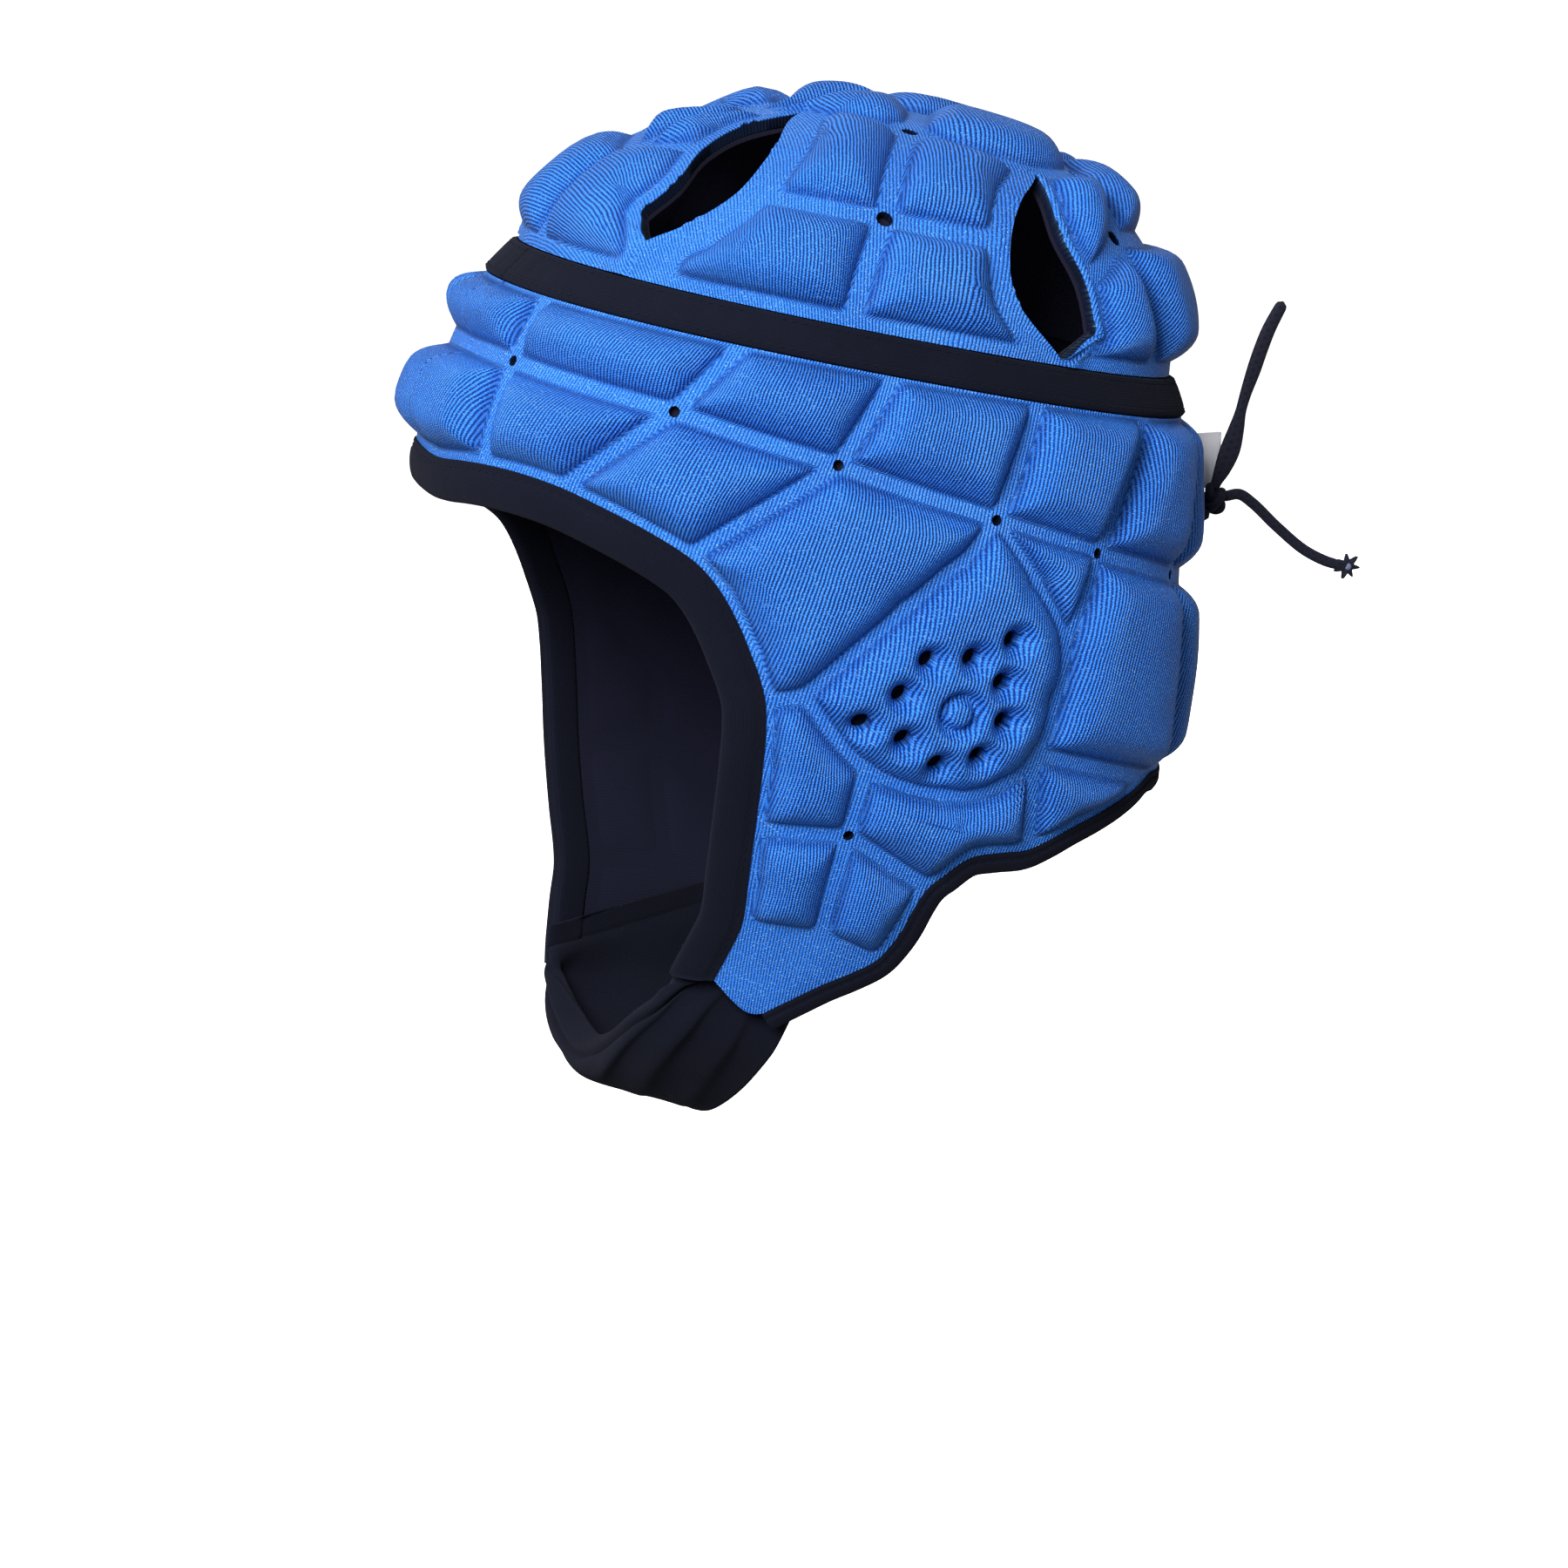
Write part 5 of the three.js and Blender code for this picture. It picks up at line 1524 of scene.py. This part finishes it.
class SCRUMCAP_OT_band(bpy.types.Operator):
    """Stretch the elastic band between the crown and the side shell, with its two stitch rows"""
    bl_idname = "scrum_cap.band"
    bl_label = "Elastic band"

    def execute(self, context):
        theta = np.arange(0, 360, 1.2)
        rise = math.degrees(math.asin(BAND_HALF / CROWN_HEIGHT))
        crown, side = level_line(theta, rise), level_line(theta, BAND_HALF)
        out = SIDE_SHAPE.normal(level_line(theta, 2))
        upper = CROWN_SHAPE.spot(crown), CROWN_SHAPE.normal(crown)
        lower = SIDE_SHAPE.spot(side), SIDE_SHAPE.normal(side)
        middle = (side_form(theta, 0) + crown_form(theta, 0)) / 2
        run = run_of(middle)
        tops, mids, lows = upper[0] + upper[1], middle + out * 1.5, lower[0] + lower[1]

        def bowed(i, t):
            """Point of the band's bowed section, from its upper edge to its lower one."""
            return tops[i] * (1 - t) * (1 - 2 * t) + mids[i] * 4 * t * (1 - t) + lows[i] * t * (2 * t - 1)

        sewn = Sewn()
        rows, seams = [], [[], []]
        for i in range(len(theta)):
            ripple = 0.12 * math.sin(run[i] * 0.31) + 0.08 * math.sin(run[i] * 0.83 + 1)
            section, weave = [], []
            for t in np.linspace(0, 1, 15):
                rim = max(0, abs(2 * t - 1) - 0.86) / 0.14
                pressed = 0.25 * math.exp(-((abs(2 * t - 1) - 0.72) / 0.05) ** 2)
                swell = 0.35 + ripple * t * (1 - t) * 4 - 0.9 * rim ** 2 - pressed
                section.append(bowed(i, t) + out[i] * swell)
                weave.append((run[i], t * 10, rim))
            for seam, t in zip(seams, (0.14, 0.86)):
                seam.append(bowed(i, t) + out[i] * 0.22)
            for base, n, inset in ((lower[0][i], lower[1][i], -2.2), (middle[i], out[i], -2.4),
                                   (upper[0][i], upper[1][i], -2.2)):
                section.append(base + n * inset)
                weave.append((run[i], 20, 0))
            rows.append(sewn.lay(placed(np.array(section)), weave))
        sewn.skin(rows, closed=True, flip=True)
        sewn.piece("band", trim_finish("elastic_jersey"), "black_elastic", "band")
        for name, seam in zip(("band_stitches_upper", "band_stitches_lower"), seams):
            sew_stitches(placed(np.array(seam + seam[:1])), pitched(out), name, "black_elastic")
        return {"FINISHED"}


class SCRUMCAP_OT_bindings(bpy.types.Operator):
    """Fold the bindings round the face opening and along the neck, with their stitch rows"""
    bl_idname = "scrum_cap.bindings"
    bl_label = "Bindings"

    def execute(self, context):
        finish = trim_finish("binding_jersey")
        for name, names, sign, width, puff, slip, reach in (
                ("face_binding", both_sides(FACE_CHAIN, []), -1, 10.5, 0.9, 4, (1, FAR_REACH)),
                ("neck_binding", both_sides(NECK_CHAIN, ["rearEnd", "rearEnd_r"]), 1, 5.5, 0.6, 0, (6, 6))):
            sewn, (spots, normal, away) = sew_binding(names, sign, width, puff, slip, reach)
            sewn.piece(name, finish, "black_binding", name)
            row = placed(spots + away * (OVERLAP + 1.95) + normal * 0.75)
            sew_stitches(row, pitched(normal), name + "_stitches", "black_binding")
        return {"FINISHED"}


class SCRUMCAP_OT_chin_strap(bpy.types.Operator):
    """Shape the cupped chin strap with its rolled rims and pressed folds"""
    bl_idname = "scrum_cap.chin_strap"
    bl_label = "Chin strap"

    def execute(self, context):
        spots, normal, away = edge_frames(both_sides(FACE_CHAIN, []), -1, 4)
        onward = np.cross(away[-1], normal[-1])
        fronts = [placed(spots[0] + away[0] * 8) - [0, 0, STRAP_SEAM + 3],
                  placed(spots[-1] + away[-1] * 12 + onward * FAR_REACH)]
        corner = SIDE_SHAPE.corner
        corners = [(1 - share) * corner("tipRear" + side) + share * corner("bottom1" + side)
                   for side, share in STRAP_REAR]
        rears = [placed(SIDE_SHAPE.spot(c)) - [0, 0, STRAP_SEAM] for c in corners]
        inward = [-pitched(SIDE_SHAPE.normal(c)) for c in corners]
        low_front, low_rear = np.array(STRAP_LOW_FRONT) - SEAT, np.array(STRAP_LOW_REAR) - SEAT

        def round_off(t):
            return np.sqrt(t * t + STRAP_BEND ** 2) - STRAP_BEND

        def rim(tips, base, power, t):
            tip = np.where((t > 0)[..., None], *tips)
            rise = (round_off(t) / round_off(1)) ** power
            return np.stack([tip[..., 0] * np.abs(t), base[1] + (tip[..., 1] - base[1]) * t * t,
                             base[2] + (tip[..., 2] - base[2]) * rise], -1)

        def sheet(t, v):
            far = np.maximum(np.abs(t) - 1, 0)[..., None] * 100
            t = np.clip(t, -1, 1)
            a, b = rim(fronts, low_front, STRAP_SPREAD[0], t), rim(rears, low_rear, STRAP_SPREAD[1], t)
            depth, front, rear = CUP_FORM
            cup = depth * v ** front * (1 - v) ** rear * (1 - t ** 4)
            p = a + (b - a) * v[..., None]
            p[..., 1] -= STRAP_CUP[0] * cup
            p[..., 2] -= STRAP_CUP[1] * cup
            tucked = np.where((t > 0)[..., None], *inward)
            inset, start, stop = STRAP_TUCK
            p += tucked * (inset * eased(np.abs(t), start, stop))[..., None]
            return p + far * np.array([0, 0.1, 1])

        def facing(t, v):
            d = 0.01
            along = sheet(np.minimum(t + d, 1), v) - sheet(np.maximum(t - d, -1), v)
            wide = sheet(t, np.minimum(v + d, 1)) - sheet(t, np.maximum(v - d, 0))
            return unit(np.cross(along, wide))

        def folds(t, v):
            reach = np.abs(t)
            window = np.clip((reach - 0.12) / 0.25, 0, 1) * np.clip((1.02 - reach) / 0.2, 0, 1)
            lift = 0
            for place, lean, height, width in STRAP_FOLDS:
                d = (v - place - lean * (reach - 0.55)) / width
                lift = lift + height * np.where(d < 0, np.exp(-(d / 1.7) ** 2), np.exp(-(d / 0.55) ** 2))
            return lift * window - 0.6 * window

        across = np.concatenate([np.linspace(*part) for part in STRAP_ACROSS])
        face = [(v, 1.2 + 2.5 * math.sqrt(max(0, 1 - ((v - 0.09) / 0.11) ** 2))
                 - 1.3 * math.exp(-((v - 0.21) / 0.02) ** 2)) for v in across]
        far = [(0.992, 0.95), (1.0, 0.35), (1.0, -0.35), (0.992, -0.95)]
        behind = [(v, -1.3) for v in across[::-2]]
        near = [(0.006, -1.2), (-0.012, -0.4), (-0.016, 0.8), (0.0, 2.3)]
        section = np.array(face + far + behind + near)
        sewn = Sewn()
        rows = []
        v = np.clip(section[:, 0], 0, 1)
        for i in range(STRAP_ROWS + 1):
            t = np.full(len(section), STRAP_OVER - 2 * STRAP_OVER * i / STRAP_ROWS)
            base, n = sheet(t, v), facing(t, v)
            wide = unit(sheet(t, np.ones_like(v)) - sheet(t, np.zeros_like(v)))
            base = base + (section[:, 0] - v)[:, None] * STRAP_WIDE * wide
            lift = section[:, 1] * (1 - 0.7 * eased(np.abs(t), 0.96, 1.03))
            lift = lift + folds(t, v) * (section[:, 1] > 0) + uneven(base, 0.25)
            ring = base - n * lift[:, None]
            edge = np.clip(1 - np.minimum(v, 1 - v) / 0.08, 0, 1)
            rows.append(sewn.lay(ring, np.stack([section[:, 0] * STRAP_WIDE, t * 100, edge], -1)))
        sewn.skin(rows)
        sewn.plug(rows[0], True)
        sewn.plug(rows[-1], False)
        made = sewn.piece("chin_strap", trim_finish("strap_jersey", 0.8, 0.03), "black_strap", "chin_strap")
        return {"FINISHED"}


class SCRUMCAP_OT_rear_gusset(bpy.types.Operator):
    """Fit the stretch panel behind the lacing"""
    bl_idname = "scrum_cap.rear_gusset"
    bl_label = "Rear gusset"

    def execute(self, context):
        drops = np.linspace(TOP_EDGE + 0.8, 106, 80)
        thetas = np.linspace(REAR_EDGE + 0.2, 360 - REAR_EDGE - 0.2, 60)
        sewn = Sewn()
        rows = []
        for drop in drops:
            chart = level_line(thetas, drop)
            ribs = 0.16 * np.abs(np.sin((thetas - 180) * 3.2)) + 0.1 * math.sin(drop * 0.6)
            face = SIDE_SHAPE.lifted(chart, -0.75 + ribs)
            behind = SIDE_SHAPE.lifted(chart[::-1], -2.2)
            weave = [(a * 1.5, drop, 0) for a in (*thetas, *thetas[::-1])]
            rows.append(sewn.lay(placed(np.vstack([face, behind])), weave))
        sewn.skin(rows, flip=True)
        sewn.plug(rows[0], False)
        sewn.plug(rows[-1], True)
        finish = trim_finish("gusset_jersey", 0.9, 0.03)
        made = sewn.piece("rear_gusset", finish, "black_elastic", "rear_gusset")
        return {"FINISHED"}


class SCRUMCAP_OT_label(bpy.types.Operator):
    """Fold the blank label tab beside the rear edge"""
    bl_idname = "scrum_cap.label"
    bl_label = "Label"

    def execute(self, context):
        base = rear_spot(*LABEL, 0)
        colour = settings().trim.label
        side = [(0, 0.45), (3, 0.5), (6, 0.6), (9, 0.68), (12, 0.68), (15, 0.62)]
        fold = [(16.2 + 0.7 * math.cos(a), 0.62 * math.sin(a)) for a in np.radians(np.linspace(90, -90, 9))]
        outline = np.array(side + fold + [(x, -y) for x, y in side[::-1]])
        turn = np.gradient(outline, axis=0)
        inward = unit(np.stack([turn[:, 1], -turn[:, 0]], -1)) * 0.28
        section = np.vstack([outline, (outline + inward)[::-1]])
        sewn = Sewn()
        rows = []
        for t in np.linspace(-1, 1, 13):
            bend = 0.5 * np.sin(section[:, 0] / 17 * 2.2) * (0.6 + 0.4 * t)
            up = np.full(len(section), LABEL_HALF * t)
            ring = base + np.stack([section[:, 1] + bend, section[:, 0] - 0.3, up], -1)
            rows.append(sewn.lay(ring, [(y, LABEL_HALF * t, float(abs(t) > 0.9)) for y, _ in section]))
        sewn.skin(rows)
        n = len(outline)
        for row, flip in ((rows[0], True), (rows[-1], False)):
            for i in range(n - 1):
                sewn.face((row[i], row[i + 1], row[2 * n - 2 - i], row[2 * n - 1 - i]), flip)
        tape = tape_finish("white_tape", colour, tuple(0.88 * c for c in colour))
        sewn.piece("label", tape, "white_label", "label")
        return {"FINISHED"}


class SCRUMCAP_PT_panel(bpy.types.Panel):
    """Sizes, colours and steps of the scrum cap"""
    bl_label = "Scrum Cap"
    bl_idname = "SCRUMCAP_PT_panel"
    bl_space_type = "VIEW_3D"
    bl_region_type = "UI"
    bl_category = "Scrum Cap"

    def draw(self, context):
        layout = self.layout
        for group in (settings().knit, settings().pads, settings().trim, settings().stage):
            box = layout.box()
            for name in group.bl_rna.properties.keys():
                if name not in ("rna_type", "name"):
                    box.prop(group, name)
        for step in STEPS:
            layout.operator(step.bl_idname)


STEPS = (
    SCRUMCAP_OT_stage,
    SCRUMCAP_OT_lace_ends,
    SCRUMCAP_OT_lacing,
    SCRUMCAP_OT_pads,
    SCRUMCAP_OT_linings,
    SCRUMCAP_OT_band,
    SCRUMCAP_OT_bindings,
    SCRUMCAP_OT_chin_strap,
    SCRUMCAP_OT_rear_gusset,
    SCRUMCAP_OT_label,
)
GROUPS = (ScrumCapKnit, ScrumCapPads, ScrumCapTrim, ScrumCapStage, ScrumCapSettings)
CLASSES = (*GROUPS, *STEPS, SCRUMCAP_PT_panel)


def register():
    for each in CLASSES:
        bpy.utils.register_class(each)
    bpy.types.Scene.scrum_cap = PointerProperty(
        name="Scrum cap", description="Sizes and colours of the scrum cap", type=ScrumCapSettings)


def unregister():
    del bpy.types.Scene.scrum_cap
    for each in reversed(CLASSES):
        bpy.utils.unregister_class(each)


def main():
    register()
    for step in STEPS:
        family, name = step.bl_idname.split(".")
        getattr(getattr(bpy.ops, family), name)()


if __name__ == "__main__":
    main()
